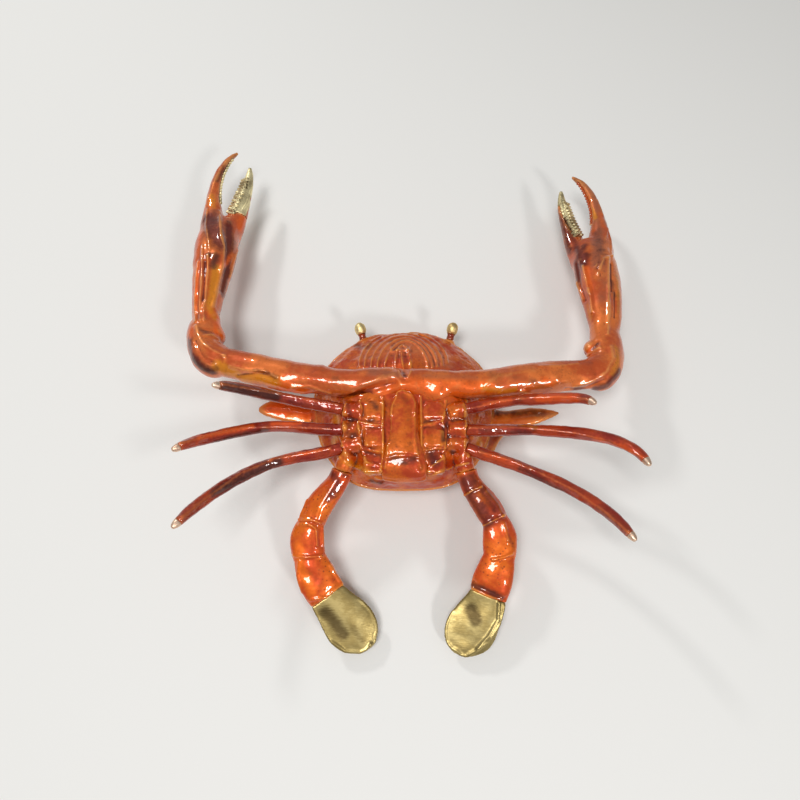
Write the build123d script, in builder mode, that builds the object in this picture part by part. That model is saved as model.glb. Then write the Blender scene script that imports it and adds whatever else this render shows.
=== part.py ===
"""Cast bronze blue crab lying on its back, legs in the air, built piece by piece in millimetres.

The crown of the shell rests on the table at the origin. +Z points up to the belly, +Y to the head and
the claws, and +X to the right of someone who looks down on the belly. Every limb follows a centre line
through a short table of places, given as shares of that limb's own reach.
"""

import os
from math import cos, radians, sin, sqrt

from build123d import *

os.makedirs("parts", exist_ok=True)

# Shell and breastplate, the two halves of the hollow body
spine_span = 180.0
shell_width = 108.0
shell_length = 101.0
shell_depth = 26.0
shell_forward = 2.2
body_wall = 4.0
belly_rise = 23.0
belly_margin = 1.2
lip_depth = 3.0
lip_wall = 2.5
lip_gap = 0.8
spine_girth = 13.0
spine_depth = 7.0
flank_tooth = 2.6
flank_tooth_taper = 10

# Apron, breast pads and mouth
apron_width = 16.0
apron_depth = 5.0
pad_width = 12.0
pad_length = 11.5
pad_rise = 2.0
pad_corner = 3.0
pad_spread = 33.0
mouth_width = 80.0
mouth_length = 40.0
mouth_rise = 22.0
mouth_slope = 16.0

# Eyes
eye_length = 7.6
eye_width = 7.0
stalk_length = 3.6
stalk_girth = 4.6
orbit_girth = 9.0
eye_spread = 52.5
eye_shift = 1.8
stalk_seat = 1.0

# Claw arms
arm_reach = 105.0
arm_girth = 18.0
arm_start = 1.5
wrist_reach = 40.0
wrist_girth = 21.0
wrist_knob_girth = 12.0
claw_reach = 140.0
palm_girth = 28.0
palm_depth = 20.0
finger_girth = 14.0
finger_depth = 12.0
pincer_reach = 50.0
pincer_girth = 13.0
pincer_depth = 10.0
tooth_width = 3.0
tooth_depth = 6.6
saw_tooth_width = 1.3
saw_tooth_depth = 1.8
tooth_count = 12
saw_tooth_count = 16
comb_tilt = 55

# Walking legs, front to rear, and swimming legs
hip_spread = 68.0
hip_girth = 10.0
first_leg_reach = 70.0
second_leg_reach = 90.0
third_leg_reach = 95.0
leg_girth = 7.0
leg_tip_length = 4.0
swim_reach = 75.0
swim_girth = 20.0
swim_depth = 9.0
paddle_length = 36.0
paddle_width = 27.0
paddle_depth = 3.4

# Pegs and fits between the castings
leg_peg_girth = 3.0
leg_peg_length = 5.0
arm_peg_girth = 8.0
arm_peg_length = 7.0
swim_peg_girth = 5.0
tip_peg_girth = 1.4
tip_peg_length = 2.0
fit_gap = 0.15
overrun = 1.0

rim_height = shell_depth

# Half outline of the shell from front to rear: shares of half its width and half its length
outline_shares = [
    (0.37, 0.965), (0.60, 0.83), (0.80, 0.64), (0.94, 0.42), (1.0, 0.155),
    (0.98, -0.165), (0.905, -0.44), (0.78, -0.68), (0.595, -0.885), (0.315, -0.985),
]

# Levels of the shell: height share, width share, then front and rear reach as shares of half length
shell_level_shares = [
    (0.0, 0.38, 0.62, 0.26), (0.06, 0.57, 0.76, 0.50), (0.20, 0.75, 0.86, 0.72),
    (0.43, 0.885, 0.94, 0.885), (0.71, 0.97, 0.985, 0.97), (1.0, 1.0, 1.0, 1.0),
]

# Levels of the breastplate above the rim, in the same order
belly_level_shares = [
    (0.0, 1.0, 1.0, 1.0), (0.25, 0.87, 0.92, 0.985), (0.52, 0.74, 0.80, 0.95),
    (0.76, 0.63, 0.64, 0.89), (0.92, 0.54, 0.47, 0.80), (1.0, 0.42, 0.26, 0.68),
]

# Arches of the mouth from the outermost in: shares of its width, its length and its rise
mouth_arch_shares = [
    (1.0, 1.0, 0.56), (0.87, 0.96, 0.66), (0.74, 0.915, 0.75), (0.61, 0.86, 0.82), (0.48, 0.80, 0.88),
    (0.35, 0.73, 0.93), (0.22, 0.66, 0.97), (0.10, 0.58, 1.0),
]

# Breast pads: place along the shell and height on the rise, then their levels from foot to top
pad_shares = [(-0.105, 0.97), (-0.265, 0.97), (-0.40, 0.84)]
pad_level_shares = [(-1.5, 1.0), (0, 0.97), (0.7, 0.90), (1.0, 0.78)]

# Hips, front to rear: place along the shell as a share of its length, height as a share of the rise
leg_hip_shares = [(-0.09, 0.87), (-0.20, 0.79), (-0.30, 0.70)]
swim_hip_share = (-0.415, 0.50)
breast_joint_share = (0.085, 0.87)

# Centre lines, each place a share of the reach: to the right, toward the head, and up
left_arm_shares = [
    (0, 0, 0), (-0.166, -0.006, 0), (-0.305, -0.01, -0.01), (-0.438, 0.014, -0.019),
    (-0.552, 0.029, -0.029), (-0.695, 0.057, -0.038), (-0.867, 0.105, -0.048), (-0.976, 0.133, -0.057),
]
right_arm_shares = [
    (0, 0, 0), (0.18, -0.017, 0), (0.319, -0.019, -0.01), (0.448, -0.01, -0.019),
    (0.619, 0.014, -0.029), (0.776, 0.033, -0.038), (0.924, 0.052, -0.048), (1.0, 0.062, -0.057),
]
left_wrist_shares = [(-0.335, 0.17, -0.05), (-0.41, 0.50, -0.10), (-0.44, 0.74, -0.125)]
right_wrist_shares = [(0.33, 0.17, -0.05), (0.345, 0.49, -0.10), (0.38, 0.725, -0.125)]
left_palm_shares = [
    (-0.006, 0.115, -0.007), (-0.006, 0.25, -0.014), (-0.003, 0.395, -0.02), (-0.003, 0.565, -0.03),
]
right_palm_shares = [
    (0.014, 0.13, -0.007), (0.012, 0.263, -0.014), (0.008, 0.39, -0.02), (0.004, 0.50, -0.03),
]
left_finger_shares = [
    (-0.020, 0.42, -0.025), (-0.046, 0.60, -0.03), (-0.055, 0.75, -0.03), (-0.038, 0.865, -0.03),
    (-0.004, 0.945, -0.03), (0.036, 0.989, -0.03),
]
right_finger_shares = [
    (0.032, 0.37, -0.025), (0.056, 0.54, -0.03), (0.060, 0.66, -0.03), (0.041, 0.77, -0.03),
    (0.006, 0.85, -0.03), (-0.038, 0.893, -0.03),
]
left_pincer_shares = [
    (0.07, -0.50, -0.04), (0.15, -0.05, -0.05), (0.21, 0.25, -0.06), (0.255, 0.50, -0.06),
    (0.285, 0.70, -0.05), (0.29, 0.94, -0.03),
]
right_pincer_shares = [
    (-0.05, -0.50, -0.04), (-0.155, -0.06, -0.05), (-0.225, 0.25, -0.06), (-0.265, 0.50, -0.06),
    (-0.28, 0.70, -0.05), (-0.28, 0.87, -0.03),
]
left_leg_shares = [
    [(0, 0, 0), (-0.26, 0.05, 0), (-0.52, 0.10, 0.015), (-0.70, 0.125, 0.07),
     (-0.83, 0.125, 0.15), (-0.98, 0.095, 0.27)],
    [(0, 0, 0), (-0.24, 0.015, -0.015), (-0.485, 0.02, -0.01), (-0.64, -0.03, 0.04),
     (-0.765, -0.09, 0.12), (-0.935, -0.21, 0.25)],
    [(0, 0, 0), (-0.20, -0.045, -0.005), (-0.40, -0.095, 0.01), (-0.56, -0.19, 0.06),
     (-0.685, -0.305, 0.135), (-0.825, -0.505, 0.26)],
]
right_leg_shares = [
    [(0, 0, 0), (0.22, 0.05, 0), (0.44, 0.075, 0.015), (0.65, 0.065, 0.06),
     (0.85, 0.035, 0.155), (0.95, -0.055, 0.27)],
    [(0, 0, 0), (0.21, 0, -0.015), (0.42, 0, -0.01), (0.64, -0.04, 0.045),
     (0.855, -0.11, 0.13), (0.99, -0.30, 0.25)],
    [(0, 0, 0), (0.18, -0.065, -0.005), (0.36, -0.14, 0.01), (0.53, -0.24, 0.065),
     (0.67, -0.36, 0.145), (0.805, -0.57, 0.26)],
]
left_swim_shares = [
    (0, 0, 0), (-0.09, -0.145, -0.05), (-0.175, -0.255, -0.08), (-0.22, -0.355, -0.105),
    (-0.25, -0.475, -0.145), (-0.235, -0.59, -0.175), (-0.185, -0.715, -0.215), (-0.10, -0.855, -0.265),
]
right_swim_shares = [
    (0, 0, 0), (0.06, -0.13, -0.04), (0.13, -0.225, -0.065), (0.205, -0.34, -0.105),
    (0.24, -0.475, -0.145), (0.235, -0.585, -0.175), (0.19, -0.73, -0.215), (0.15, -0.855, -0.265),
]
left_paddle_shares = [(0.33, -0.40, -0.17), (0.57, -0.765, -0.31)]
right_paddle_shares = [(-0.24, -0.445, -0.17), (-0.41, -0.83, -0.31)]

# Ovals along a piece: place along it as a share, then width and depth as shares of its girth and depth
arm_base_section_shares = [(0, 0.80, 0.68), (0.12, 0.84, 0.78), (0.4, 0.88, 0.87), (1, 0.95, 0.92)]
arm_section_shares = [
    (0, 0.95, 0.92), (0.2, 0.98, 0.95), (0.45, 1.05, 1.0), (0.8, 1.0, 0.97), (1, 1.0, 0.95),
]
wrist_section_shares = [(0, 0.80, 0.78), (0.3, 1.0, 0.94), (0.6, 0.98, 0.92), (1, 0.80, 0.80)]
left_palm_section_shares = [
    (0, 0.58, 0.70), (0.2, 0.67, 0.80), (0.42, 0.84, 0.94), (0.66, 1.0, 1.0), (0.86, 0.94, 0.90),
    (1, 0.62, 0.62),
]
right_palm_section_shares = [
    (0, 0.64, 0.74), (0.2, 0.77, 0.86), (0.42, 0.93, 0.96), (0.66, 1.0, 1.0), (0.86, 0.91, 0.90),
    (1, 0.62, 0.62),
]
finger_section_shares = [
    (0, 1.20, 1.25), (0.22, 1.18, 1.10), (0.40, 0.80, 0.80), (0.6, 0.56, 0.58), (0.8, 0.42, 0.46),
    (1, 0.16, 0.18),
]
left_pincer_section_shares = [
    (0, 1.05, 1.20), (0.32, 1.22, 1.15), (0.5, 0.98, 0.95), (0.7, 0.72, 0.72), (0.88, 0.46, 0.48),
    (1, 0.16, 0.20),
]
right_pincer_section_shares = [
    (0, 1.05, 1.20), (0.32, 1.16, 1.12), (0.5, 0.90, 0.92), (0.7, 0.66, 0.70), (0.88, 0.44, 0.47),
    (1, 0.16, 0.20),
]
upper_leg_section_shares = [(0, 0.92, 0.92), (0.3, 1.0, 1.0), (0.75, 0.92, 0.92), (1, 0.88, 0.88)]
lower_leg_section_shares = [
    (0, 0.86, 0.86), (0.15, 0.96, 0.94), (0.55, 0.94, 0.92), (0.9, 0.80, 0.80), (1, 0.68, 0.68),
]
leg_tip_section_shares = [(0, 0.62, 0.62), (0.6, 0.50, 0.50), (1, 0.26, 0.26)]
thigh_section_shares = [(0, 0.60, 1.0), (0.35, 0.66, 1.0), (0.75, 0.78, 1.0), (1, 0.75, 0.90)]
knee_section_shares = [(0, 0.73, 0.86), (0.5, 0.94, 1.0), (1, 0.88, 0.86)]
shin_section_shares = [(0, 0.84, 0.82), (0.45, 1.05, 0.95), (1, 1.03, 0.72)]
paddle_section_shares = [
    (0, 0.74, 1.0), (0.25, 0.88, 1.0), (0.5, 1.0, 1.0), (0.75, 0.93, 0.9), (0.92, 0.62, 0.75),
    (1, 0.28, 0.5),
]
apron_section_shares = [
    (0, 0.30, 0.5), (0.04, 0.62, 0.9), (0.1, 0.85, 1.0), (0.3, 0.95, 1.0), (0.55, 1.05, 1.0),
    (0.68, 1.32, 1.0), (0.85, 1.55, 1.0), (1, 1.5, 0.8),
]
apron_shares = [
    (0.005, 1.045), (-0.10, 1.055), (-0.22, 1.05), (-0.33, 1.015), (-0.42, 0.90), (-0.475, 0.62),
]
stalk_section_shares = [(0, 1.0), (0.3, 1.0), (0.7, 0.95), (1, 1.25)]
eye_section_shares = [(0, 0.70), (0.2, 0.94), (0.45, 1.0), (0.7, 0.90), (0.88, 0.62), (1, 0.20)]
left_spine_section_shares = [
    (0, 1.5, 1.0), (0.4, 1.45, 0.90), (0.62, 1.2, 0.75), (0.82, 0.92, 0.55), (0.93, 0.55, 0.40),
    (1, 0.14, 0.14),
]
right_spine_section_shares = [
    (0, 2.3, 1.0), (0.2, 2.15, 1.0), (0.33, 1.3, 0.90), (0.5, 1.0, 0.80), (0.7, 0.85, 0.64),
    (0.9, 0.44, 0.40), (1, 0.12, 0.14),
]

# Spines: each place a share of half the span, to the right and toward the head, then of the shell's depth
left_spine_shares = [
    (-0.46, -0.06, 0.80), (-0.62, -0.035, 0.84), (-0.80, -0.006, 0.90), (-0.97, -0.015, 0.95),
]
right_spine_shares = [
    (0.46, -0.13, 0.80), (0.60, -0.10, 0.83), (0.78, -0.065, 0.89), (1.03, -0.035, 0.95),
]

# Flank teeth around the shell's outline, and the two shoulders of a mouth arch
flank_tooth_shares = [0.085, 0.115, 0.145, 0.175, 0.825, 0.855, 0.885, 0.915]
arch_shares = [(0.86, 0.5), (0.5, 0.87)]
hollow_share = 0.8

# Eyes: way that each looks (to the right, toward the head, up), and place of the orbits on the shell
left_gaze_shares = (-0.28, 0.90, 0.34)
right_gaze_shares = (0.24, 0.90, 0.36)
orbit_share = 0.865

# Knobs of the wrists: place along the wrist, and stand out of its middle as a share of half its girth
knob_place_share = 0.72
knob_stand_share = 0.62

# Teeth of the claws: stretch of each finger that they take up, and where each pincer's bare tip begins
saw_span_shares = (0.42, 0.93)
comb_span_shares = (0.42, 0.86)
left_tip_share = 0.44
right_tip_share = 0.84
bar_place_shares = [0, 0.25, 0.5, 0.75, 1]
bar_depth_share = 0.8
tooth_length_share = 0.5


def centre_line(points):
    """Smooth line through the given points."""
    with BuildLine() as line:
        Spline(*points)
    return line.edges()[0]


def placed(start, reach, shares):
    """Points that stand off a start by shares of one reach."""
    return [Vector(*start) + Vector(*share) * reach for share in shares]


def across(path, place):
    """Plane square to a line: its own x axis lies level and its own y axis points down."""
    along = path % place
    level = along.cross(Vector(0, 0, 1)).normalized()
    return Plane(origin=path @ place, x_dir=level, z_dir=along)


def between(span, share):
    """Place on a line at a share of the stretch between two other places."""
    return span[0] + (span[1] - span[0]) * share


def shares_at(sections, share):
    """Width and depth shares of a section table at any place, read off in straight lines."""
    for low, high in zip(sections, sections[1:]):
        if share <= high[0]:
            part = (share - low[0]) / (high[0] - low[0])
            return [low[i] + (high[i] - low[i]) * part for i in (1, 2)]
    return sections[-1][1:]


def oval_loft(path, span, sections, girth, depth, room=0.0):
    """Loft through ovals across a line. Room widens it all round, for the seat that it lies in."""
    with BuildPart() as body:
        for share, wide, deep in sections:
            with BuildSketch(across(path, between(span, share))):
                Ellipse(girth * wide / 2 + room, depth * deep / 2 + room)
        loft()
    return body.part


def limb_piece(name, path, span, sections, girth, depth, peg=None, socket=None, lump=None):
    """One casting of a limb, written to its file.

    peg and socket are (girth, length) of the round pin at its root and of the hole at its far end;
    lump is a solid that stands out of its side.
    """
    flesh = oval_loft(path, span, sections, girth, depth)
    with BuildPart() as piece:
        add(flesh)
        if lump:
            add(lump)
        if peg:
            with BuildSketch(across(path, span[0])):
                Circle(peg[0] / 2)
            extrude(amount=-peg[1])
        if socket:
            with BuildSketch(across(path, span[1])):
                Circle(socket[0] / 2 + fit_gap)
            extrude(amount=-socket[1] - fit_gap, mode=Mode.SUBTRACT)
    return finished(name, piece.part)


def finished(name, solid):
    """Label a piece and write it to its own file."""
    solid.label = name
    export_step(solid, f"parts/{name}.step")
    return solid


def shell_outline(half_width, front, rear):
    """Closed oval outline of the body about its own middle, with its own front and rear reach."""
    right = [
        (across_share * half_width, along_share * (front if along_share > 0 else rear))
        for across_share, along_share in outline_shares
    ]
    left = [(-x, y) for x, y in reversed(right)]
    with BuildSketch() as sketch:
        with BuildLine():
            Spline((0, front), *right, (0, -rear), *left, periodic=True)
        make_face()
    return sketch.sketch


def body_loft(levels, base, rise, half_width, half_length, raise_by=0.0):
    """Loft through the level outlines of one half of the body."""
    with BuildPart() as body:
        for up, wide, front, rear in levels:
            height = base + rise * up + raise_by * (1 - up)
            with BuildSketch(Plane(origin=(0, shell_forward, height))):
                add(shell_outline(half_width * wide, half_length * front, half_length * rear))
        loft()
    return body.part


def hip(side, shares):
    """Place of a hip. Side is -1 on the left and 1 on the right."""
    return (
        side * hip_spread / 2,
        shell_forward + shell_length * shares[0],
        rim_height + belly_rise * shares[1],
    )


class ClawArm:
    """Centre lines of one claw arm and the places of its joints."""

    def __init__(self, side, arm_shares, wrist_shares, palm_shares, finger_shares, pincer_shares, sections):
        self.side = side
        self.palm_sections, self.pincer_sections = sections
        along, up = breast_joint_share
        breast = (side * arm_start, shell_forward + shell_length * along, rim_height + belly_rise * up)
        arm_points = placed(breast, arm_reach, arm_shares)
        wrist_points = placed(arm_points[-1], wrist_reach, wrist_shares)
        palm_points = placed(wrist_points[-1], claw_reach, palm_shares)
        self.path = centre_line(arm_points + wrist_points + palm_points)
        self.shoulder = self.path.param_at_point(arm_points[3])
        self.elbow = self.path.param_at_point(arm_points[-1])
        self.wrist = self.path.param_at_point(wrist_points[-1])
        self.finger_path = centre_line(placed(wrist_points[-1], claw_reach, finger_shares))
        self.pincer_path = centre_line(placed(palm_points[-1], pincer_reach, pincer_shares))

    def base(self, room=0.0):
        """Inner length of the arm, which lies in the breastplate."""
        return oval_loft(self.path, (0, self.shoulder), arm_base_section_shares, arm_girth, arm_girth, room)

    def knob(self):
        """Round knob on the inner side of the wrist."""
        middle = across(self.path, between((self.elbow, self.wrist), knob_place_share))
        inward = middle.x_dir * self.side * -wrist_girth / 2 * knob_stand_share
        with BuildPart() as ball:
            with Locations(middle.origin + inward):
                Sphere(wrist_knob_girth / 2)
        return ball.part

    def palm(self):
        """Palm, from the wrist to the roots of the two fingers."""
        return oval_loft(self.path, (self.wrist, 1), self.palm_sections, palm_girth, palm_depth)

    def finger(self):
        """Fixed finger with its root in the palm."""
        return oval_loft(self.finger_path, (0, 1), finger_section_shares, finger_girth, finger_depth)

    def pincer(self, room=0.0):
        """Second finger with its root in the palm."""
        return oval_loft(self.pincer_path, (0, 1), self.pincer_sections, pincer_girth, pincer_depth, room)


class Leg:
    """Centre line of one leg and the places of its joints."""

    def __init__(self, side, hip_shares, reach, shares, joints, end_shares=None, end_reach=0.0):
        points = placed(hip(side, hip_shares), reach, shares)
        if end_shares:
            points += placed(points[-1], end_reach, end_shares)
        self.path = centre_line(points)
        self.joints = [0.0] + [self.path.param_at_point(points[index]) for index in joints] + [1.0]

    def stretch(self, first, last):
        """Places of two joints, counted from the hip."""
        return (self.joints[first], self.joints[last])


sides = {"left": -1, "right": 1}
leg_reaches = [first_leg_reach, second_leg_reach, third_leg_reach]
leg_tables = {"left": left_leg_shares, "right": right_leg_shares}
swim_tables = {"left": left_swim_shares, "right": right_swim_shares}
paddle_tables = {"left": left_paddle_shares, "right": right_paddle_shares}
spine_tables = {"left": left_spine_shares, "right": right_spine_shares}
spine_sections = {"left": left_spine_section_shares, "right": right_spine_section_shares}
gazes = {"left": left_gaze_shares, "right": right_gaze_shares}
tip_places = {"left": left_tip_share, "right": right_tip_share}
arms = {
    "left": ClawArm(
        -1, left_arm_shares, left_wrist_shares, left_palm_shares, left_finger_shares,
        left_pincer_shares, (left_palm_section_shares, left_pincer_section_shares),
    ),
    "right": ClawArm(
        1, right_arm_shares, right_wrist_shares, right_palm_shares, right_finger_shares,
        right_pincer_shares, (right_palm_section_shares, right_pincer_section_shares),
    ),
}
legs = {}
swimmers = {}
for side_name, side in sides.items():
    legs[side_name] = [
        Leg(side, hip_shares, reach, shares, (2,))
        for hip_shares, reach, shares in zip(leg_hip_shares, leg_reaches, leg_tables[side_name])
    ]
    swimmers[side_name] = Leg(
        side, swim_hip_share, swim_reach, swim_tables[side_name], (3, 5, 7),
        paddle_tables[side_name], paddle_length,
    )


def upper_leg(leg, room=0.0):
    """Upper length of a walking leg."""
    return oval_loft(leg.path, leg.stretch(0, 1), upper_leg_section_shares, leg_girth, leg_girth, room)


def thigh(leg, room=0.0):
    """First length of a swimming leg."""
    return oval_loft(leg.path, leg.stretch(0, 1), thigh_section_shares, swim_girth, swim_depth, room)


# Shell: a hollow oval dome with a spine on each flank, small teeth along the front and two orbits
half_width = shell_width / 2
half_length = shell_length / 2
rim_plane = Plane(origin=(0, shell_forward, rim_height))
dome = body_loft(shell_level_shares, 0, shell_depth, half_width, half_length)
hollow = body_loft(
    shell_level_shares, 0, shell_depth, half_width - body_wall, half_length - body_wall, body_wall
)
spines = []
for side_name in sides:
    points = [
        Vector(spine_span / 2 * x, shell_forward + spine_span / 2 * y, shell_depth * z)
        for x, y, z in spine_tables[side_name]
    ]
    spines.append(
        oval_loft(centre_line(points), (0, 1), spine_sections[side_name], spine_girth, spine_depth)
    )

tooth_line = shell_outline(half_width, half_length, half_length).edges()[0]
tooth_line = tooth_line.moved(Location((0, shell_forward, rim_height - flank_tooth)))


def orbit_middle(side_name):
    """Middle of the round lump that carries an eye stalk."""
    return Vector(
        sides[side_name] * eye_spread / 2 + eye_shift,
        shell_forward + half_length * orbit_share,
        rim_height - orbit_girth / 2,
    )


def stalk_plane(side_name):
    """Plane at the foot of an eye stalk, facing out along it."""
    gaze = Vector(*gazes[side_name]).normalized()
    foot = orbit_middle(side_name) + gaze * (orbit_girth / 2 - stalk_seat)
    return Plane(origin=foot, x_dir=gaze.cross(Vector(0, 0, 1)), z_dir=gaze)


with BuildPart() as shell:
    add(dome)
    for spine in spines:
        add(spine)
    for place in flank_tooth_shares:
        outward = (tooth_line % place).cross(Vector(0, 0, 1)).normalized()
        with BuildSketch(Plane(origin=tooth_line @ place - outward * flank_tooth, z_dir=outward)):
            Circle(flank_tooth / 2)
        extrude(amount=flank_tooth * 2, taper=flank_tooth_taper)
    for side_name in sides:
        with Locations(orbit_middle(side_name)):
            Sphere(orbit_girth / 2)
    add(hollow, mode=Mode.SUBTRACT)
    for side_name in sides:
        with BuildSketch(stalk_plane(side_name)):
            Circle(stalk_girth / 2 + fit_gap)
        extrude(amount=orbit_girth / 2, mode=Mode.SUBTRACT)
finished("shell", shell.part)

# Breastplate: a hollow dome that closes the shell, with a lip inside the rim, hip bosses and pads
belly_half_width = half_width - belly_margin
belly_half_length = half_length - belly_margin
belly_dome = body_loft(belly_level_shares, rim_height, belly_rise, belly_half_width, belly_half_length)
lip_half_width = half_width - body_wall - lip_gap
lip_half_length = half_length - body_wall - lip_gap
lip_oval = shell_outline(lip_half_width, lip_half_length, lip_half_length)
cavity_half_width = lip_half_width - lip_wall
cavity_half_length = lip_half_length - lip_wall
cavity_oval = shell_outline(cavity_half_width, cavity_half_length, cavity_half_length)
belly_cavity = body_loft(
    belly_level_shares, rim_height, belly_rise - body_wall, cavity_half_width, cavity_half_length
)


def mouth_arch(half, reach):
    """Horseshoe outline of one arch of the mouth, open side to the rear."""
    shoulders = [(half * across_share, reach * along_share) for across_share, along_share in arch_shares]
    mirrored = [(-x, y) for x, y in reversed(shoulders)]
    with BuildSketch() as sketch:
        with BuildLine():
            Spline((half, 0), *shoulders, (0, reach), *mirrored, (-half, 0))
            Line((-half, 0), (half, 0))
        make_face()
    return sketch.sketch


mouth_root = Vector(0, shell_forward + belly_half_length - mouth_length, rim_height)
with BuildPart() as mouth_seat:
    with BuildSketch(Plane(origin=mouth_root)):
        add(mouth_arch(mouth_width / 2, mouth_length + overrun))
    extrude(amount=belly_rise + overrun)

apron_path = centre_line([
    Vector(0, shell_forward + shell_length * along, rim_height + belly_rise * up)
    for along, up in apron_shares
])
apron_body = oval_loft(apron_path, (0, 1), apron_section_shares, apron_width, apron_depth)
apron_seat = oval_loft(apron_path, (0, 1), apron_section_shares, apron_width, apron_depth, fit_gap)

with BuildPart() as breastplate:
    add(belly_dome)
    for side_name, side in sides.items():
        for leg in legs[side_name]:
            with BuildSketch(across(leg.path, 0)):
                Circle(hip_girth / 2)
            extrude(amount=-hip_girth)
        with BuildSketch(across(swimmers[side_name].path, 0)):
            Ellipse(hip_girth / 2, swim_depth / 2)
        extrude(amount=-hip_girth)
        for along, up in pad_shares:
            forward = shell_forward + shell_length * along
            height = rim_height + belly_rise * up
            for rise_share, share in pad_level_shares:
                foot = (side * pad_spread / 2, forward, height + pad_rise * rise_share)
                with BuildSketch(Plane(origin=foot)):
                    RectangleRounded(pad_width * share, pad_length * share, pad_corner * share)
            loft()
    add(belly_cavity, mode=Mode.SUBTRACT)
    with BuildSketch(rim_plane):
        add(lip_oval)
        add(cavity_oval, mode=Mode.SUBTRACT)
    extrude(amount=-lip_depth)
    add(mouth_seat.part, mode=Mode.SUBTRACT)
    add(apron_seat, mode=Mode.SUBTRACT)
    for side_name in sides:
        add(arms[side_name].base(fit_gap), mode=Mode.SUBTRACT)
        for leg in legs[side_name]:
            add(upper_leg(leg, fit_gap), mode=Mode.SUBTRACT)
            with BuildSketch(across(leg.path, 0)):
                Circle(leg_peg_girth / 2 + fit_gap)
            extrude(amount=-leg_peg_length - fit_gap, mode=Mode.SUBTRACT)
        add(thigh(swimmers[side_name], fit_gap), mode=Mode.SUBTRACT)
        with BuildSketch(across(swimmers[side_name].path, 0)):
            Circle(swim_peg_girth / 2 + fit_gap)
        extrude(amount=-leg_peg_length - fit_gap, mode=Mode.SUBTRACT)
finished("breastplate", breastplate.part)

with BuildPart() as apron:
    add(apron_body)
finished("apron", apron.part)

# Mouth: arches one inside the other, each a step higher than the one outside it, all sloping forward
slope = radians(mouth_slope)


def slope_plane(height):
    """Plane that slopes down toward the head from a height over the rear edge of the mouth."""
    return Plane(
        origin=mouth_root + Vector(0, 0, height), x_dir=(1, 0, 0), z_dir=(0, sin(slope), cos(slope))
    )


steps = []
for wide, long, up in mouth_arch_shares:
    with BuildPart() as step:
        with BuildSketch(Plane(origin=mouth_root)):
            add(mouth_arch(mouth_width / 2 * wide - fit_gap, mouth_length * long))
        extrude(amount=belly_rise)
        split(bisect_by=slope_plane(mouth_rise * up), keep=Keep.BOTTOM)
    steps.append(step.part)
with BuildPart() as mouth_hollow:
    with BuildSketch(Plane(origin=mouth_root)):
        add(mouth_arch(mouth_width / 2 * hollow_share - body_wall, mouth_length * hollow_share))
    extrude(amount=belly_rise)
    split(bisect_by=slope_plane(mouth_rise * hollow_share - body_wall), keep=Keep.BOTTOM)
with BuildPart() as mouth:
    for step in steps:
        add(step)
    add(mouth_hollow.part, mode=Mode.SUBTRACT)
    for side_name in sides:
        add(arms[side_name].base(fit_gap), mode=Mode.SUBTRACT)
finished("mouth", mouth.part)

# Eyes on their stalks, pinned into the orbits of the shell
for side_name in sides:
    foot_plane = stalk_plane(side_name)
    eye_plane = foot_plane.offset(stalk_length)
    with BuildPart() as stalk:
        for share, wide in stalk_section_shares:
            with BuildSketch(foot_plane.offset(stalk_length * share)):
                Circle(stalk_girth / 2 * wide)
        loft()
        with BuildSketch(eye_plane):
            Circle(tip_peg_girth / 2 + fit_gap)
        extrude(amount=-tip_peg_length - fit_gap, mode=Mode.SUBTRACT)
    finished(f"{side_name}_eye_stalk", stalk.part)
    with BuildPart() as eye:
        for share, wide in eye_section_shares:
            with BuildSketch(eye_plane.offset(eye_length * share)):
                Circle(eye_width / 2 * wide)
        loft()
        with BuildSketch(eye_plane):
            Circle(tip_peg_girth / 2)
        extrude(amount=-tip_peg_length)
    finished(f"{side_name}_eye", eye.part)


def edge_plane(path, place, sections, girths, side, tilt, inset):
    """Plane across a finger whose own x axis points out of its toothed edge, tilted up to the belly."""
    middle = across(path, place)
    half_wide, half_deep = [girth * share / 2 for girth, share in zip(girths, shares_at(sections, place))]
    run, climb = cos(radians(tilt)), sin(radians(tilt))
    outward = middle.x_dir * side * run - middle.y_dir * climb
    radius = 1 / sqrt((run / half_wide) ** 2 + (climb / half_deep) ** 2)
    return Plane(origin=middle.origin + outward * (radius - inset), x_dir=outward, z_dir=middle.z_dir)


def edge_bar(path, span, sections, girths, side, tilt, size, room=0.0, proud=0.0):
    """Narrow bar sunk in the edge of a finger. Room widens it all round, and proud lets it stand out."""
    wide, deep = size
    with BuildPart() as bar:
        for share in bar_place_shares:
            plane = edge_plane(path, between(span, share), sections, girths, side, tilt, wide + room)
            with BuildSketch(plane):
                Rectangle(wide + room + proud, deep + 2 * room, align=(Align.MIN, Align.CENTER))
        loft()
    return bar.part


def tooth_row(path, span, sections, girths, side, tilt, count, size):
    """Row of teeth standing on its bar along the edge of a finger. Size is (width, depth) of a tooth."""
    wide, deep = size
    bar = edge_bar(path, span, sections, girths, side, tilt, (wide, deep * bar_depth_share))
    pitch = (span[1] - span[0]) / count
    with BuildPart() as row:
        add(bar)
        for index in range(count):
            place = span[0] + pitch * (index + 0.5)
            with BuildSketch(edge_plane(path, place, sections, girths, side, tilt, wide)):
                with Locations((wide / 2, 0)):
                    Rectangle(wide, deep, align=(Align.MIN, Align.CENTER))
            extrude(amount=path.length * pitch * tooth_length_share / 2, both=True)
    return row.part


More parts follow.
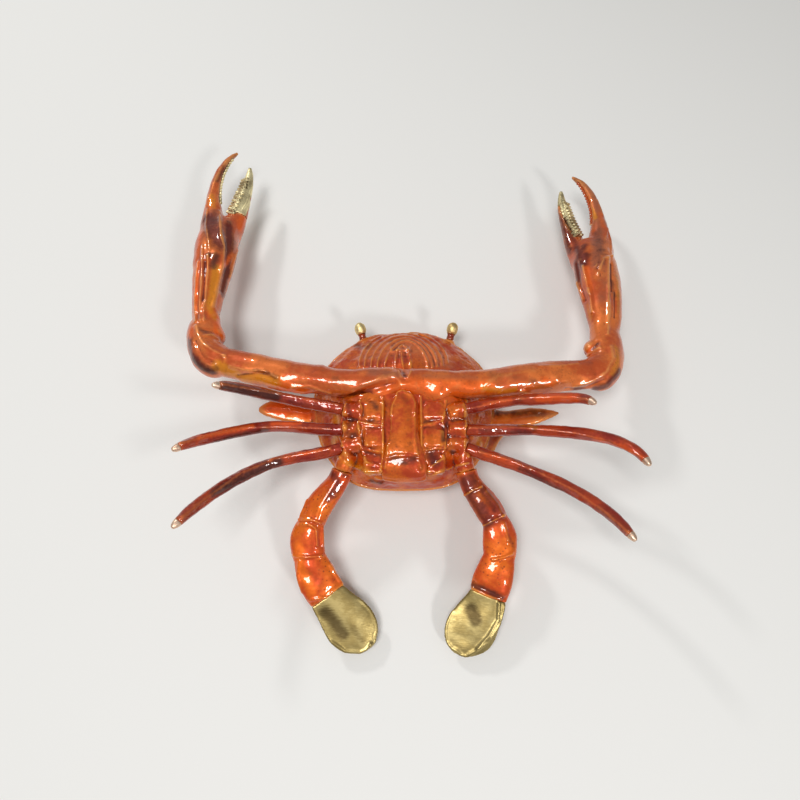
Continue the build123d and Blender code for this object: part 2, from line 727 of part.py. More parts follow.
# Claw arms
arm_peg = (arm_peg_girth, arm_peg_length)
for side_name, side in sides.items():
    arm = arms[side_name]
    limb_piece(
        f"{side_name}_arm_base", arm.path, (0, arm.shoulder), arm_base_section_shares,
        arm_girth, arm_girth, socket=arm_peg,
    )
    limb_piece(
        f"{side_name}_arm", arm.path, (arm.shoulder, arm.elbow), arm_section_shares,
        arm_girth, arm_girth, peg=arm_peg, socket=arm_peg,
    )
    limb_piece(
        f"{side_name}_wrist", arm.path, (arm.elbow, arm.wrist), wrist_section_shares,
        wrist_girth, wrist_girth, peg=arm_peg, socket=arm_peg, lump=arm.knob(),
    )
    saw_edge = (
        arm.finger_path, saw_span_shares, finger_section_shares, (finger_girth, finger_depth), -side, 0
    )
    saw_size = (saw_tooth_width, saw_tooth_depth)
    saw_slot = edge_bar(*saw_edge, saw_size, room=fit_gap, proud=saw_tooth_width)
    finished(f"{side_name}_claw_saw_teeth", tooth_row(*saw_edge, saw_tooth_count, saw_size))
    with BuildPart() as claw:
        add(arm.palm())
        add(arm.finger())
        with BuildSketch(across(arm.path, arm.wrist)):
            Circle(arm_peg_girth / 2)
        extrude(amount=-arm_peg_length)
        add(arm.pincer(fit_gap), mode=Mode.SUBTRACT)
        add(saw_slot, mode=Mode.SUBTRACT)
    finished(f"{side_name}_claw", claw.part)
    comb_edge = (
        arm.pincer_path, comb_span_shares, arm.pincer_sections, (pincer_girth, pincer_depth),
        side, comb_tilt,
    )
    comb_size = (tooth_width, tooth_depth)
    comb_slot = edge_bar(*comb_edge, comb_size, room=fit_gap, proud=tooth_width)
    tip_plane = across(arm.pincer_path, tip_places[side_name])
    with BuildPart() as comb:
        add(arm.pincer())
        split(bisect_by=tip_plane, keep=Keep.TOP)
        add(tooth_row(*comb_edge, tooth_count, comb_size))
    finished(f"{side_name}_pincer_teeth", comb.part)
    with BuildPart() as pincer:
        add(arm.pincer())
        split(bisect_by=tip_plane, keep=Keep.BOTTOM)
        add(comb_slot, mode=Mode.SUBTRACT)
    finished(f"{side_name}_pincer", pincer.part)

# Walking legs
leg_peg = (leg_peg_girth, leg_peg_length)
tip_peg = (tip_peg_girth, tip_peg_length)
for side_name in sides:
    for number, leg in enumerate(legs[side_name], start=1):
        tip_place = 1 - leg_tip_length / leg.path.length
        limb_piece(
            f"{side_name}_leg_{number}_upper", leg.path, leg.stretch(0, 1),
            upper_leg_section_shares, leg_girth, leg_girth, peg=leg_peg, socket=leg_peg,
        )
        limb_piece(
            f"{side_name}_leg_{number}_lower", leg.path, (leg.joints[1], tip_place),
            lower_leg_section_shares, leg_girth, leg_girth, peg=leg_peg, socket=tip_peg,
        )
        limb_piece(
            f"{side_name}_leg_{number}_tip", leg.path, (tip_place, 1), leg_tip_section_shares,
            leg_girth, leg_girth, peg=tip_peg,
        )

# Swimming legs
swim_peg = (swim_peg_girth, leg_peg_length)
for side_name in sides:
    swimmer = swimmers[side_name]
    limb_piece(
        f"{side_name}_swim_thigh", swimmer.path, swimmer.stretch(0, 1), thigh_section_shares,
        swim_girth, swim_depth, peg=swim_peg, socket=swim_peg,
    )
    limb_piece(
        f"{side_name}_swim_knee", swimmer.path, swimmer.stretch(1, 2), knee_section_shares,
        swim_girth, swim_depth, peg=swim_peg, socket=swim_peg,
    )
    limb_piece(
        f"{side_name}_swim_shin", swimmer.path, swimmer.stretch(2, 3), shin_section_shares,
        swim_girth, swim_depth, peg=swim_peg, socket=(tip_peg_girth, leg_peg_length),
    )
    limb_piece(
        f"{side_name}_paddle", swimmer.path, swimmer.stretch(3, 4), paddle_section_shares,
        paddle_width, paddle_depth, peg=(tip_peg_girth, leg_peg_length),
    )
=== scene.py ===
"""Dress a cast bronze crab that lies on its back: modelled wax, a translucent red patina and bare brass.

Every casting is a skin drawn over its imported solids, then modelled with strokes as a sculptor's tool
would leave them. Strokes are drawn in the camera's own frame of 800 by 800 and land on the casting
that they belong to.
"""

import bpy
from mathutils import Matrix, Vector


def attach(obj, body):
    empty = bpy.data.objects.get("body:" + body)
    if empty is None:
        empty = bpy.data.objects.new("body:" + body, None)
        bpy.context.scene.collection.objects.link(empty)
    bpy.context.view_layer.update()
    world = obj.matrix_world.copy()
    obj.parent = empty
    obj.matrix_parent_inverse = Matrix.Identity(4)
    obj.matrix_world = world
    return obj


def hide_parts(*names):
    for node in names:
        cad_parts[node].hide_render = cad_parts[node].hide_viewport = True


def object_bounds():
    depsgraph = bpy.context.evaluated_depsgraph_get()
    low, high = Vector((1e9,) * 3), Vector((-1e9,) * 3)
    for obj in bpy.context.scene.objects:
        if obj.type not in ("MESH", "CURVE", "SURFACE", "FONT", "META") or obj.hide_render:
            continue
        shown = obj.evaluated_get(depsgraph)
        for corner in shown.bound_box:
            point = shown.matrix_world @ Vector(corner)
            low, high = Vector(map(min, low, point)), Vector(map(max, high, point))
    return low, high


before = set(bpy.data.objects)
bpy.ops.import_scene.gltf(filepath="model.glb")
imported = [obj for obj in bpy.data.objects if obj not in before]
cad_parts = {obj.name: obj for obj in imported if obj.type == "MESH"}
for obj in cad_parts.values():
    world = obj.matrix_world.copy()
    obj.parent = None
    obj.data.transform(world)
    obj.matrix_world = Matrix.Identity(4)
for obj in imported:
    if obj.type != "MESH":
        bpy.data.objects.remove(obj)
cad_box = [list(corner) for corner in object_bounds()]

import logging
import math
from dataclasses import dataclass
from enum import Enum
from typing import Any, Optional, Sequence

import bmesh
import bpy
import numpy as np
from mathutils import Matrix, Vector, noise
from mathutils.bvhtree import BVHTree

log = logging.getLogger("crab")

MM = 0.001
ROOT = "root"
ARCH_STEPS = 18
Pixel = tuple[float, float]
Line = tuple[Pixel, ...]


class Side(Enum):
    """Side of the crab, as the camera sees it."""

    LEFT = "left"
    RIGHT = "right"


class Wash(Enum):
    """Colour washes brushed over the patina, each kept as an attribute of the mesh."""

    UMBER = "wash_umber"
    GOLD = "wash_gold"
    FLAME = "wash_flame"
    WINE = "wash_wine"
    MAROON = "wash_maroon"


def linear(code: str) -> tuple[float, float, float, float]:
    """Turn a written screen colour into the values that the shader works in.

    Args:
        code: six hexadecimal digits.

    Returns:
        Red, green, blue and an alpha of one.
    """
    parts = [int(code[i : i + 2], 16) / 255 for i in (0, 2, 4)]
    red, green, blue = (p / 12.92 if p <= 0.04045 else ((p + 0.055) / 1.055) ** 2.4 for p in parts)
    return red, green, blue, 1.0


def arch(left: Pixel, top: float, right: Pixel, bend: float = 0.5) -> Line:
    """Draw one arch of the mouth.

    Args:
        left: its left foot.
        top: height of its crown in the frame.
        right: its right foot.
        bend: 0.5 for an ellipse, more for feet that flare.

    Returns:
        The line from foot to foot.
    """
    points = []
    for step in range(ARCH_STEPS + 1):
        angle = math.pi * step / ARCH_STEPS
        share = (1 - math.cos(angle)) / 2
        foot = left[1] + (right[1] - left[1]) * share
        rise = math.sin(angle) ** (2 * bend)
        points.append((left[0] + (right[0] - left[0]) * share, foot - (foot - top) * rise))
    return tuple(points)


def rungs(start: Pixel, end: Pixel, count: int, reach: float, slant: float) -> tuple[Line, ...]:
    """Lay short lines across a band at even steps, like the rungs of a ladder.

    Args:
        start: middle of the first one.
        end: middle of the last one.
        count: how many.
        reach: half the length of each, in the frame.
        slant: turn of each away from level, in degrees.

    Returns:
        The lines.
    """
    across = math.cos(math.radians(slant)) * reach
    down = math.sin(math.radians(slant)) * reach
    lines = []
    for step in range(count):
        share = step / (count - 1)
        middle = tuple(a + (b - a) * share for a, b in zip(start, end))
        lines.append(((middle[0] - across, middle[1] - down), (middle[0] + across, middle[1] + down)))
    return tuple(lines)


@dataclass(frozen=True)
class View:
    """The photograph's point of view.

    Attributes:
        place: where the camera hangs, in mm.
        pitch: how far it looks down, in degrees.
        focal: its focal length, in pixels.
        frame_size: side of the square picture, in pixels.
        sensor: width of its sensor, in mm.
        nearest, farthest: the stretch that it sees, in metres.
    """

    place: tuple[float, float, float] = (-2.384, -127.557, 358.808)
    pitch: float = 68.0
    focal: float = 601.0
    frame_size: float = 800.0
    sensor: float = 36.0
    nearest: float = 0.01
    farthest: float = 20.0

    def set_camera(self) -> None:
        """Make the scene's camera."""
        data = bpy.data.cameras.new("view")
        data.sensor_width = self.sensor
        data.lens = self.sensor * self.focal / self.frame_size
        data.clip_start = self.nearest
        data.clip_end = self.farthest
        camera = bpy.data.objects.new("view", data)
        camera.location = Vector(self.place) * MM
        camera.rotation_euler = (math.radians(90 - self.pitch), 0, 0)
        bpy.context.scene.collection.objects.link(camera)
        bpy.context.scene.camera = camera

    def ray(self, pixel: Pixel) -> Vector:
        """Direction of the line of sight through a pixel."""
        across = (pixel[0] - self.frame_size / 2) / self.focal
        up = (self.frame_size / 2 - pixel[1]) / self.focal
        slant = math.radians(self.pitch)
        ahead = Vector((0, math.cos(slant), -math.sin(slant)))
        rise = Vector((0, math.sin(slant), math.cos(slant)))
        return (Vector((1, 0, 0)) * across + rise * up + ahead).normalized()

    def landing(self, tree: BVHTree, pixel: Pixel, depth: float) -> Vector:
        """Find where a line of sight meets a surface.

        Args:
            tree: the surface, in millimetres.
            pixel: place in the frame.
            depth: rough distance of the surface, for a line of sight that passes beside it.

        Returns:
            The point that is met, or the nearest one to the line.
        """
        start = Vector(self.place)
        heading = self.ray(pixel)
        found = tree.ray_cast(start, heading)[0]
        if found is None:
            found = tree.find_nearest(start + heading * depth)[0]
        return found


@dataclass(frozen=True)
class Stroke:
    """One stroke of the modelling tool: a ridge, or a groove where the height is below zero.

    Attributes:
        line: its path in the frame.
        width: reach to each side, in mm.
        height: how far it lifts the wax, in mm.
    """

    line: Line
    width: float
    height: float


@dataclass(frozen=True)
class Thumb:
    """One place where the wax is smoothed over with the thumb.

    Attributes:
        line: its path in the frame.
        width: reach to each side, in mm.
        rounds: how often it is smoothed.
    """

    line: Line
    width: float
    rounds: int


@dataclass(frozen=True)
class Brush:
    """One stroke of coloured wash.

    Attributes:
        wash: its colour.
        line: its path in the frame.
        width: reach to each side, in mm.
        strength: how thick it lies, from 0 to 1.
    """

    wash: Wash
    line: Line
    width: float
    strength: float = 1.0


@dataclass(frozen=True)
class Weld:
    """One bead of weld, an oval blob that joins two castings.

    Attributes:
        place: its middle, in mm.
        reach: how far it goes to the right, toward the head and up, in mm.
    """

    place: tuple[float, float, float]
    reach: tuple[float, float, float]


@dataclass(frozen=True)
class Wax:
    """How the surface of one casting is worked.

    Attributes:
        voxel: size of its facets, in mm.
        smoothing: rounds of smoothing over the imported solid.
        lumps: height of the broad unevenness, in mm.
        lump_size: its length, in mm.
        grain: height of the fine unevenness, in mm.
        grain_size: its length, in mm.
    """

    voxel: float = 0.6
    smoothing: int = 4
    lumps: float = 0.25
    lump_size: float = 6.0
    grain: float = 0.06
    grain_size: float = 1.6


class Casting:
    """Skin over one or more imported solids, as arrays that strokes push about.

    Attributes:
        PATH_STEP: pixels between the points at which a path lands on the skin.
        SPREAD: how far off a stroke is still felt, over its width.
        EDGE_SHARE: share of a stroke that stays where the skin is seen edge on.
        TURN: how fast that share grows as the skin turns to the camera.
        GRIP: how much more than its own share a thumb takes hold.
        EASE: share of the way to its neighbours that a smoothed point goes in one round.
        DOUBLES: how near two corners of the solids are when they are one, in mm.
        RELIEF_ROUNDS: rounds of evening that the relief is measured against.
    """

    PATH_STEP = 5
    SPREAD = 2.2
    EDGE_SHARE = 0.4
    TURN = 3
    GRIP = 1.4
    EASE = 0.5
    DOUBLES = 0.001
    RELIEF_ROUNDS = 24

    def __init__(
        self, name: str, nodes: Sequence[str], wax: Wax, view: View, welds: Sequence[Weld] = ()
    ) -> None:
        """Draw the skin.

        Args:
            name: name of the new piece.
            nodes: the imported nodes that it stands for.
            wax: how it is worked.
            view: the frame that its strokes are drawn in.
            welds: beads that join them.
        """
        self.name = name
        self.nodes = tuple(nodes)
        self.wax = wax
        self.view = view
        self.mesh = self._skin(welds)
        count = len(self.mesh.vertices)
        self.edges = np.zeros(len(self.mesh.edges) * 2, np.int64)
        self.mesh.edges.foreach_get("vertices", self.edges)
        self.edges = self.edges.reshape(-1, 2)
        self.points = np.zeros(count * 3)
        self.mesh.vertices.foreach_get("co", self.points)
        self.points = self.points.reshape(-1, 3) / MM
        self.washes = {wash: np.zeros(count) for wash in Wash}
        self._survey()

    def _skin(self, welds: Sequence[Weld]) -> bpy.types.Mesh:
        """Merge copies of the nodes with the welds, draw an even skin round them and smooth it."""
        joined = bmesh.new()
        for node in self.nodes:
            joined.from_mesh(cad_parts[node].data)
        bmesh.ops.remove_doubles(joined, verts=joined.verts, dist=self.DOUBLES * MM)
        for weld in welds:
            place = Matrix.Translation(Vector(weld.place) * MM)
            stretch = Matrix.Diagonal((*(reach * MM for reach in weld.reach), 1))
            bmesh.ops.create_icosphere(joined, subdivisions=4, radius=1.0, matrix=place @ stretch)
        mesh = bpy.data.meshes.new(self.name)
        joined.to_mesh(mesh)
        joined.free()
        piece = bpy.data.objects.new(self.name, mesh)
        bpy.context.scene.collection.objects.link(piece)
        skin = piece.modifiers.new("skin", "REMESH")
        skin.mode = "VOXEL"
        skin.voxel_size = self.wax.voxel * MM
        graph = bpy.context.evaluated_depsgraph_get()
        drawn = bpy.data.meshes.new_from_object(piece.evaluated_get(graph))
        bpy.data.objects.remove(piece)
        bpy.data.meshes.remove(mesh)
        smooth = bmesh.new()
        smooth.from_mesh(drawn)
        self._drop_hollows(smooth)
        for _ in range(self.wax.smoothing):
            bmesh.ops.smooth_vert(
                smooth, verts=smooth.verts, factor=0.5, use_axis_x=True, use_axis_y=True, use_axis_z=True
            )
        bmesh.ops.recalc_face_normals(smooth, faces=smooth.faces)
        smooth.to_mesh(drawn)
        smooth.free()
        drawn.name = self.name
        return drawn

    @staticmethod
    def _drop_hollows(skin: bmesh.types.BMesh) -> None:
        """Delete the closed walls of gaps that lie wholly inside the metal."""
        unseen = set(skin.verts)
        islands = []
        while unseen:
            heap = [unseen.pop()]
            island = set(heap)
            while heap:
                for edge in heap.pop().link_edges:
                    for vert in edge.verts:
                        if vert in unseen:
                            unseen.remove(vert)
                            island.add(vert)
                            heap.append(vert)
            islands.append(island)
        biggest = max(islands, key=len)
        spare = [vert for island in islands if island is not biggest for vert in island]
        if spare:
            bmesh.ops.delete(skin, geom=spare, context="VERTS")

    def _survey(self) -> None:
        """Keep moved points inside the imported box, and read their normals again."""
        low, high = (np.array(corner) / MM for corner in cad_box)
        self.points = np.clip(self.points, low, high)
        self.mesh.vertices.foreach_set("co", (self.points * MM).ravel())
        self.mesh.update()
        self.normals = np.zeros(self.points.size)
        self.mesh.vertex_normals.foreach_get("vector", self.normals)
        self.normals = self.normals.reshape(-1, 3)

    def _surface(self) -> BVHTree:
        """The skin in millimetres, for lines of sight."""
        polygons = [tuple(p.vertices) for p in self.mesh.polygons]
        return BVHTree.FromPolygons([tuple(p) for p in self.points], polygons)

    def _weights(self, tree: BVHTree, line: Line, width: float) -> tuple[np.ndarray, np.ndarray]:
        """Share of a stroke that each nearby point takes; points that face away take none.

        Args:
            tree: the surface.
            line: path in the frame.
            width: reach to each side, in mm.

        Returns:
            Indices of the points, and a share from 0 to 1 for each.
        """
        middle = Vector(self.points.mean(axis=0))
        depth = (middle - Vector(self.view.place)).length
        path = []
        for start, end in zip(line, line[1:] or line):
            steps = max(1, int(math.dist(start, end) / self.PATH_STEP))
            for step in range(steps):
                share = step / steps
                pixel = tuple(a + (b - a) * share for a, b in zip(start, end))
                path.append(self.view.landing(tree, pixel, depth))
        path.append(self.view.landing(tree, line[-1], depth))
        path = np.array(path)
        reach = self.SPREAD * width
        above = self.points > path.min(axis=0) - reach
        below = self.points < path.max(axis=0) + reach
        inside = np.all(above & below, axis=1)
        near = np.nonzero(inside)[0]
        nearest = np.full(len(near), 1e9)
        here = self.points[near]
        for start, end in zip(path, path[1:]):
            along = end - start
            share = np.clip((here - start) @ along / max(along @ along, 1e-9), 0, 1)
            gap = np.linalg.norm(here - start - share[:, None] * along, axis=1)
            nearest = np.minimum(nearest, gap)
        sight = np.array(self.view.place) - here
        sight /= np.linalg.norm(sight, axis=1)[:, None]
        turned = np.sum(self.normals[near] * sight, axis=1)
        facing = np.clip(turned * self.TURN + self.EDGE_SHARE, 0, 1)
        return near, np.exp(-((nearest / width) ** 2)) * facing

    def model(self, strokes: Sequence[Stroke]) -> None:
        """Lift or press the wax along strokes."""
        if not strokes:
            return
        tree = self._surface()
        shift = np.zeros(len(self.points))
        for stroke in strokes:
            near, share = self._weights(tree, stroke.line, stroke.width)
            shift[near] += share * stroke.height
        self.points += self.normals * shift[:, None]
        self._survey()

    def _evened(self, points: np.ndarray) -> np.ndarray:
        """Middle of each point's neighbours."""
        count = len(points)
        first, second = self.edges.T
        links = np.bincount(first, minlength=count) + np.bincount(second, minlength=count)
        total = np.column_stack([
            np.bincount(first, points[second, axis], count)
            + np.bincount(second, points[first, axis], count)
            for axis in range(3)
        ])
        return total / np.maximum(links, 1)[:, None]

    def melt(self, thumbs: Sequence[Thumb]) -> None:
        """Soften the wax at places."""
        for thumb in thumbs:
            near, share = self._weights(self._surface(), thumb.line, thumb.width)
            soft = np.zeros((len(self.points), 1))
            soft[near, 0] = np.minimum(share * self.GRIP, 1.0)
            for _ in range(thumb.rounds):
                self.points += (self._evened(self.points) - self.points) * self.EASE * soft
            self._survey()

    def flare(self, below: float, height: float, reach: float) -> None:
        """Push the lowest part outwards, so that it laps over its neighbour.

        Args:
            below: level that it starts from, in mm.
            height: stretch over which it grows, in mm.
            reach: how far the lowest points move, in mm.
        """
        push = np.clip((below - self.points[:, 2]) / height, 0, 1) * reach
        level = self.normals[:, :2]
        self.points[:, :2] += level * push[:, None]
        self._survey()

    def paint(self, brushes: Sequence[Brush]) -> None:
        """Brush coloured washes on."""
        if not brushes:
            return
        tree = self._surface()
        for brush in brushes:
            near, share = self._weights(tree, brush.line, brush.width)
            wash = self.washes[brush.wash]
            wash[near] = np.maximum(wash[near], share * brush.strength)

    def roughen(self) -> None:
        """Give the wax its broad lumps and its grain."""
        wax = self.wax
        shift = np.zeros(len(self.points))
        for index, place in enumerate(self.points):
            spot = Vector(place)
            shift[index] = wax.lumps * noise.noise(spot / wax.lump_size)
            shift[index] += wax.grain * noise.noise(spot / wax.grain_size)
        self.points += self.normals * shift[:, None]
        self._survey()

    def _relief(self) -> np.ndarray:
        """How far each point stands out of the surface round it, in mm."""
        even = self.points
        for _ in range(self.RELIEF_ROUNDS):
            even = (even + self._evened(even)) / 2
        return np.sum((self.points - even) * self.normals, axis=1)

    def finish(self, material: bpy.types.Material, slot: str) -> None:
        """Turn the skin into a piece of the scene.

        Args:
            material: its finish.
            slot: the record's name for that finish.
        """
        layers = {wash.value: values for wash, values in self.washes.items()}
        layers["relief"] = self._relief()
        for name, values in layers.items():
            layer = self.mesh.attributes.new(name, "FLOAT", "POINT")
            layer.data.foreach_set("value", values.astype(np.float32))
        self.mesh.shade_smooth()
        self.mesh.materials.clear()
        self.mesh.materials.append(material)
        piece = bpy.data.objects.new(self.name, self.mesh)
        bpy.context.scene.collection.objects.link(piece)
        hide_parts(*self.nodes)
        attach(piece, ROOT)
        log.info("%s: %d faces, finish %s", self.name, len(self.mesh.polygons), slot)


class Wire:
    """A shader socket that takes part in arithmetic by adding Math nodes."""

    def __init__(self, bench: "Bench", socket: bpy.types.NodeSocket) -> None:
        """Wrap a socket of a bench's tree."""
        self.bench = bench
        self.socket = socket

    def _sum(self, operation: str, first: Any, second: Any) -> "Wire":
        """Add one Math node over two values."""
        return self.bench.node("ShaderNodeMath", {"operation": operation}, {0: first, 1: second})

    def __add__(self, other: Any) -> "Wire":
        """Add a number or a wire."""
        return self._sum("ADD", self, other)

    def __radd__(self, other: Any) -> "Wire":
        """Add to a number."""
        return self._sum("ADD", other, self)

    def __sub__(self, other: Any) -> "Wire":
        """Take a number or a wire away."""
        return self._sum("SUBTRACT", self, other)

    def __rsub__(self, other: Any) -> "Wire":
        """Take from a number."""
        return self._sum("SUBTRACT", other, self)

    def __mul__(self, other: Any) -> "Wire":
        """Multiply by a number or a wire."""
        return self._sum("MULTIPLY", self, other)

    def __rmul__(self, other: Any) -> "Wire":
        """Multiply a number."""
        return self._sum("MULTIPLY", other, self)

    def eased(self, low: float, high: float) -> "Wire":
        """Rise smoothly from 0 at the low value to 1 at the high one."""
        return self.bench.node(
            "ShaderNodeMapRange",
            {"interpolation_type": "SMOOTHSTEP"},
            {"Value": self, "From Min": low, "From Max": high},
        )


class Bench:
    """Node tree of one material, and the few nodes that every finish needs."""

    def __init__(self, name: str) -> None:
        """Start a material with an empty tree."""
        self.material = bpy.data.materials.new(name)
        self.material.use_nodes = True
        self.tree = self.material.node_tree
        self.tree.nodes.clear()
        self.place = self.node("ShaderNodeTexCoord", output="Object")

    def node(
        self,
        kind: str,
        settings: Optional[dict[str, Any]] = None,
        inputs: Optional[dict[Any, Any]] = None,
        output: Any = 0,
    ) -> Wire:
        """Add any node.

        Args:
            kind: its type.
            settings: its own settings, set first; "stops" holds a ramp's places and colours.
            inputs: a value or a wire for each socket, by name or number.
            output: the socket to return.

        Returns:
            The output as a wire.
        """
        made = self.tree.nodes.new(kind)
        for name, value in (settings or {}).items():
            if name == "stops":
                elements = made.color_ramp.elements
                while len(elements) < len(value):
                    elements.new(1.0)
                for element, (place, colour) in zip(elements, value):
                    element.position = place
                    element.color = colour
            else:
                setattr(made, name, value)
        for name, value in (inputs or {}).items():
            if isinstance(value, Wire):
                self.tree.links.new(value.socket, made.inputs[name])
            else:
                made.inputs[name].default_value = value
        return Wire(self, made.outputs[output])

    def mix(self, first: Any, second: Any, share: Any) -> Wire:
        """Blend two colours."""
        return self.node("ShaderNodeMix", {"data_type": "RGBA"}, {0: share, 6: first, 7: second}, output=2)

    def layer(self, name: str) -> Wire:
        """Read an attribute of the mesh."""
        return self.node("ShaderNodeAttribute", {"attribute_name": name}, output="Fac")

    def cloud(
        self, size: float, detail: float = 2.0, roughness: float = 0.5, at: Optional[Wire] = None
    ) -> Wire:
        """Noise whose features are a given number of millimetres across."""
        scale = 1 / (size * MM)
        return self.node(
            "ShaderNodeTexNoise",
            None,
            {"Vector": at or self.place, "Scale": scale, "Detail": detail, "Roughness": roughness},
        )

    def bump(self, height: Wire, distance: float, strength: float = 1.0) -> Wire:
        """Turn heights into a normal; distance is in millimetres."""
        return self.node(
            "ShaderNodeBump",
            None,
            {"Height": height, "Distance": distance * MM, "Strength": strength},
            "Normal",
        )

    def close(self, inputs: dict[str, Any]) -> bpy.types.Material:
        """Finish the material with one Principled shader."""
        shader = self.node("ShaderNodeBsdfPrincipled", None, inputs, "BSDF")
        self.show(shader)
        return self.material

    def show(self, shader: Wire) -> None:
        """Join a shader to the material's output."""
        end = self.tree.nodes.new("ShaderNodeOutputMaterial")
        self.tree.links.new(shader.socket, end.inputs["Surface"])


@dataclass(frozen=True)
class Patina:
    """Translucent colour over bronze, under a thick clear lacquer.

    Attributes:
        name: the record's name of the finish.
        main: its commonest colour.
        second: the colour that drifts through it.
        crest: colour where the ridges are rubbed thin.
        hollow: colour where it has pooled.
        speckle: how dark the small specks are, from 0 to 1.
        drift: size of the colour's clouds, in mm.
        sparkle: depth of the fine unevenness of the lacquer.
        umber, gold, flame, wine, maroon: colours of the washes.
    """

    name: str
    main: str = "9c3208"
    second: str = "bf4f08"
    crest: str = "dc7a22"
    hollow: str = "3c0a04"
    speckle: float = 0.25
    drift: float = 18.0
    sparkle: float = 0.35
    umber: str = "3a140c"
    gold: str = "d27c0a"
    flame: str = "dc4f04"
    wine: str = "560c04"
    maroon: str = "8e3414"

    def build(self) -> bpy.types.Material:
        """Make the material."""
        bench = Bench(self.name)
        broad = bench.cloud(self.drift, 3.0)
        fine = bench.cloud(2.2, 3.0, 0.6)
        mottle = bench.cloud(5.5, 4.0, 0.62)
        relief = bench.layer("relief")
        drifted = broad + (fine - 0.5) * 0.25 + (mottle - 0.5) * 0.4
        colour = bench.mix(linear(self.main), linear(self.second), drifted.eased(0.38, 0.64))
        for wash, paint in (
            (Wash.MAROON, self.maroon),
            (Wash.WINE, self.wine),
            (Wash.FLAME, self.flame),
            (Wash.GOLD, self.gold),
            (Wash.UMBER, self.umber),
        ):
            edge = bench.layer(wash.value) + (fine - 0.5) * 0.4 + (mottle - 0.5) * 0.7
            colour = bench.mix(colour, linear(paint), edge.eased(0.18, 0.92) * 0.9)
        colour = bench.mix(colour, linear(self.hollow), mottle.eased(0.54, 0.74) * 0.34)
        colour = bench.mix(colour, linear(self.crest), (1 - mottle).eased(0.55, 0.74) * 0.22)
        raised = relief + (fine - 0.5) * 0.25
        colour = bench.mix(colour, linear(self.crest), raised.eased(0.12, 0.60) * 0.70)
        sunk = 0 - relief + (fine - 0.5) * 0.2
        colour = bench.mix(colour, linear(self.hollow), sunk.eased(0.08, 0.50) * 0.85)
        specks = bench.node(
            "ShaderNodeTexVoronoi",
            {"feature": "F1"},
            {"Vector": bench.place, "Scale": 1 / (2.0 * MM)},
            "Distance",
        )
        spotted = (0.32 - specks + (fine - 0.5) * 0.4).eased(-0.02, 0.24) * broad.eased(0.40, 0.56)
        colour = bench.mix(colour, linear(self.hollow), spotted * self.speckle)
        return bench.close({
            "Base Color": colour,
            "Metallic": 0.3,
            "Roughness": fine * 0.2 + 0.28,
            "IOR": 1.5,
            "Specular IOR Level": 0.2,
            "Coat Weight": 1.0,
            "Coat Roughness": 0.03,
            "Coat IOR": 1.52,
            "Normal": bench.bump(bench.cloud(1.1, 3.0, 0.6), 0.12, self.sparkle),
        })


@dataclass(frozen=True)
class Brass:
    """Bare bronze or brass, rubbed or brushed.

    Attributes:
        name: the record's name of the finish.
        bright: colour where it is rubbed.
        dull: colour where it has tarnished.
        roughness: how far from a mirror.
        streak: length of the brush marks over their width; 1 for none.
        tarnish: share of the tarnish in the hollows.
        stain: colour of the darker patches.
        glaze: colour where some of the coloured lacquer has run onto it.
    """

    name: str
    bright: str = "d9c789"
    dull: str = "8a7440"
    roughness: float = 0.28
    streak: float = 1.0
    tarnish: float = 0.8
    stain: str = "4c3d26"
    glaze: str = "b84c08"

    def build(self) -> bpy.types.Material:
        """Make the material."""
        bench = Bench(self.name)
        place = bench.place
        if self.streak > 1:
            place = bench.node(
                "ShaderNodeMapping",
                None,
                {
                    "Vector": bench.place,
                    "Rotation": (0, 0, math.radians(-24)),
                    "Scale": (1 / self.streak, 1, 1),
                },
            )
        marks = bench.cloud(0.5, 3.0, 0.6, place)
        broad = bench.cloud(9.0, 2.0)
        relief = bench.layer("relief")
        worn = (broad + (marks - 0.5) * 0.5).eased(0.38, 0.66)
        colour = bench.mix(linear(self.bright), linear(self.dull), worn * 0.6)
        colour = bench.mix(colour, linear(self.dull), (0 - relief).eased(0.03, 0.3) * self.tarnish)
        stain = (bench.layer(Wash.UMBER.value) + (marks - 0.5) * 0.5).eased(0.3, 0.8)
        colour = bench.mix(colour, linear(self.stain), stain * 0.85)
        glazed = (bench.layer(Wash.FLAME.value) + (marks - 0.5) * 0.3).eased(0.35, 0.6)
        colour = bench.mix(colour, linear(self.glaze), glazed)
        return bench.close({
            "Base Color": colour,
            "Metallic": 1 - glazed * 0.7,
            "Roughness": marks * 0.2 + self.roughness,
            "Coat Weight": glazed,
            "Coat Roughness": 0.03,
            "Normal": bench.bump(marks, 0.06, 0.5),
        })


@dataclass(frozen=True)
class Lamp:
    """One square, soft lamp.

    Attributes:
        name: its name.
        place: where it hangs, in metres.
        size: length of its side, in metres.
        power: its power, in watts.
        aim: the point that it faces, in metres.
    """

    name: str
    place: tuple[float, float, float]
    size: float
    power: float
    aim: tuple[float, float, float] = (0, 0, 0.03)

    def hang(self) -> None:
        """Add the lamp to the scene."""
        data = bpy.data.lights.new(self.name, "AREA")
        data.size = self.size
        data.energy = self.power
        lamp = bpy.data.objects.new(self.name, data)
        lamp.location = self.place
        heading = Vector(self.aim) - Vector(self.place)
        lamp.rotation_euler = heading.to_track_quat("-Z", "Y").to_euler()
        bpy.context.scene.collection.objects.link(lamp)


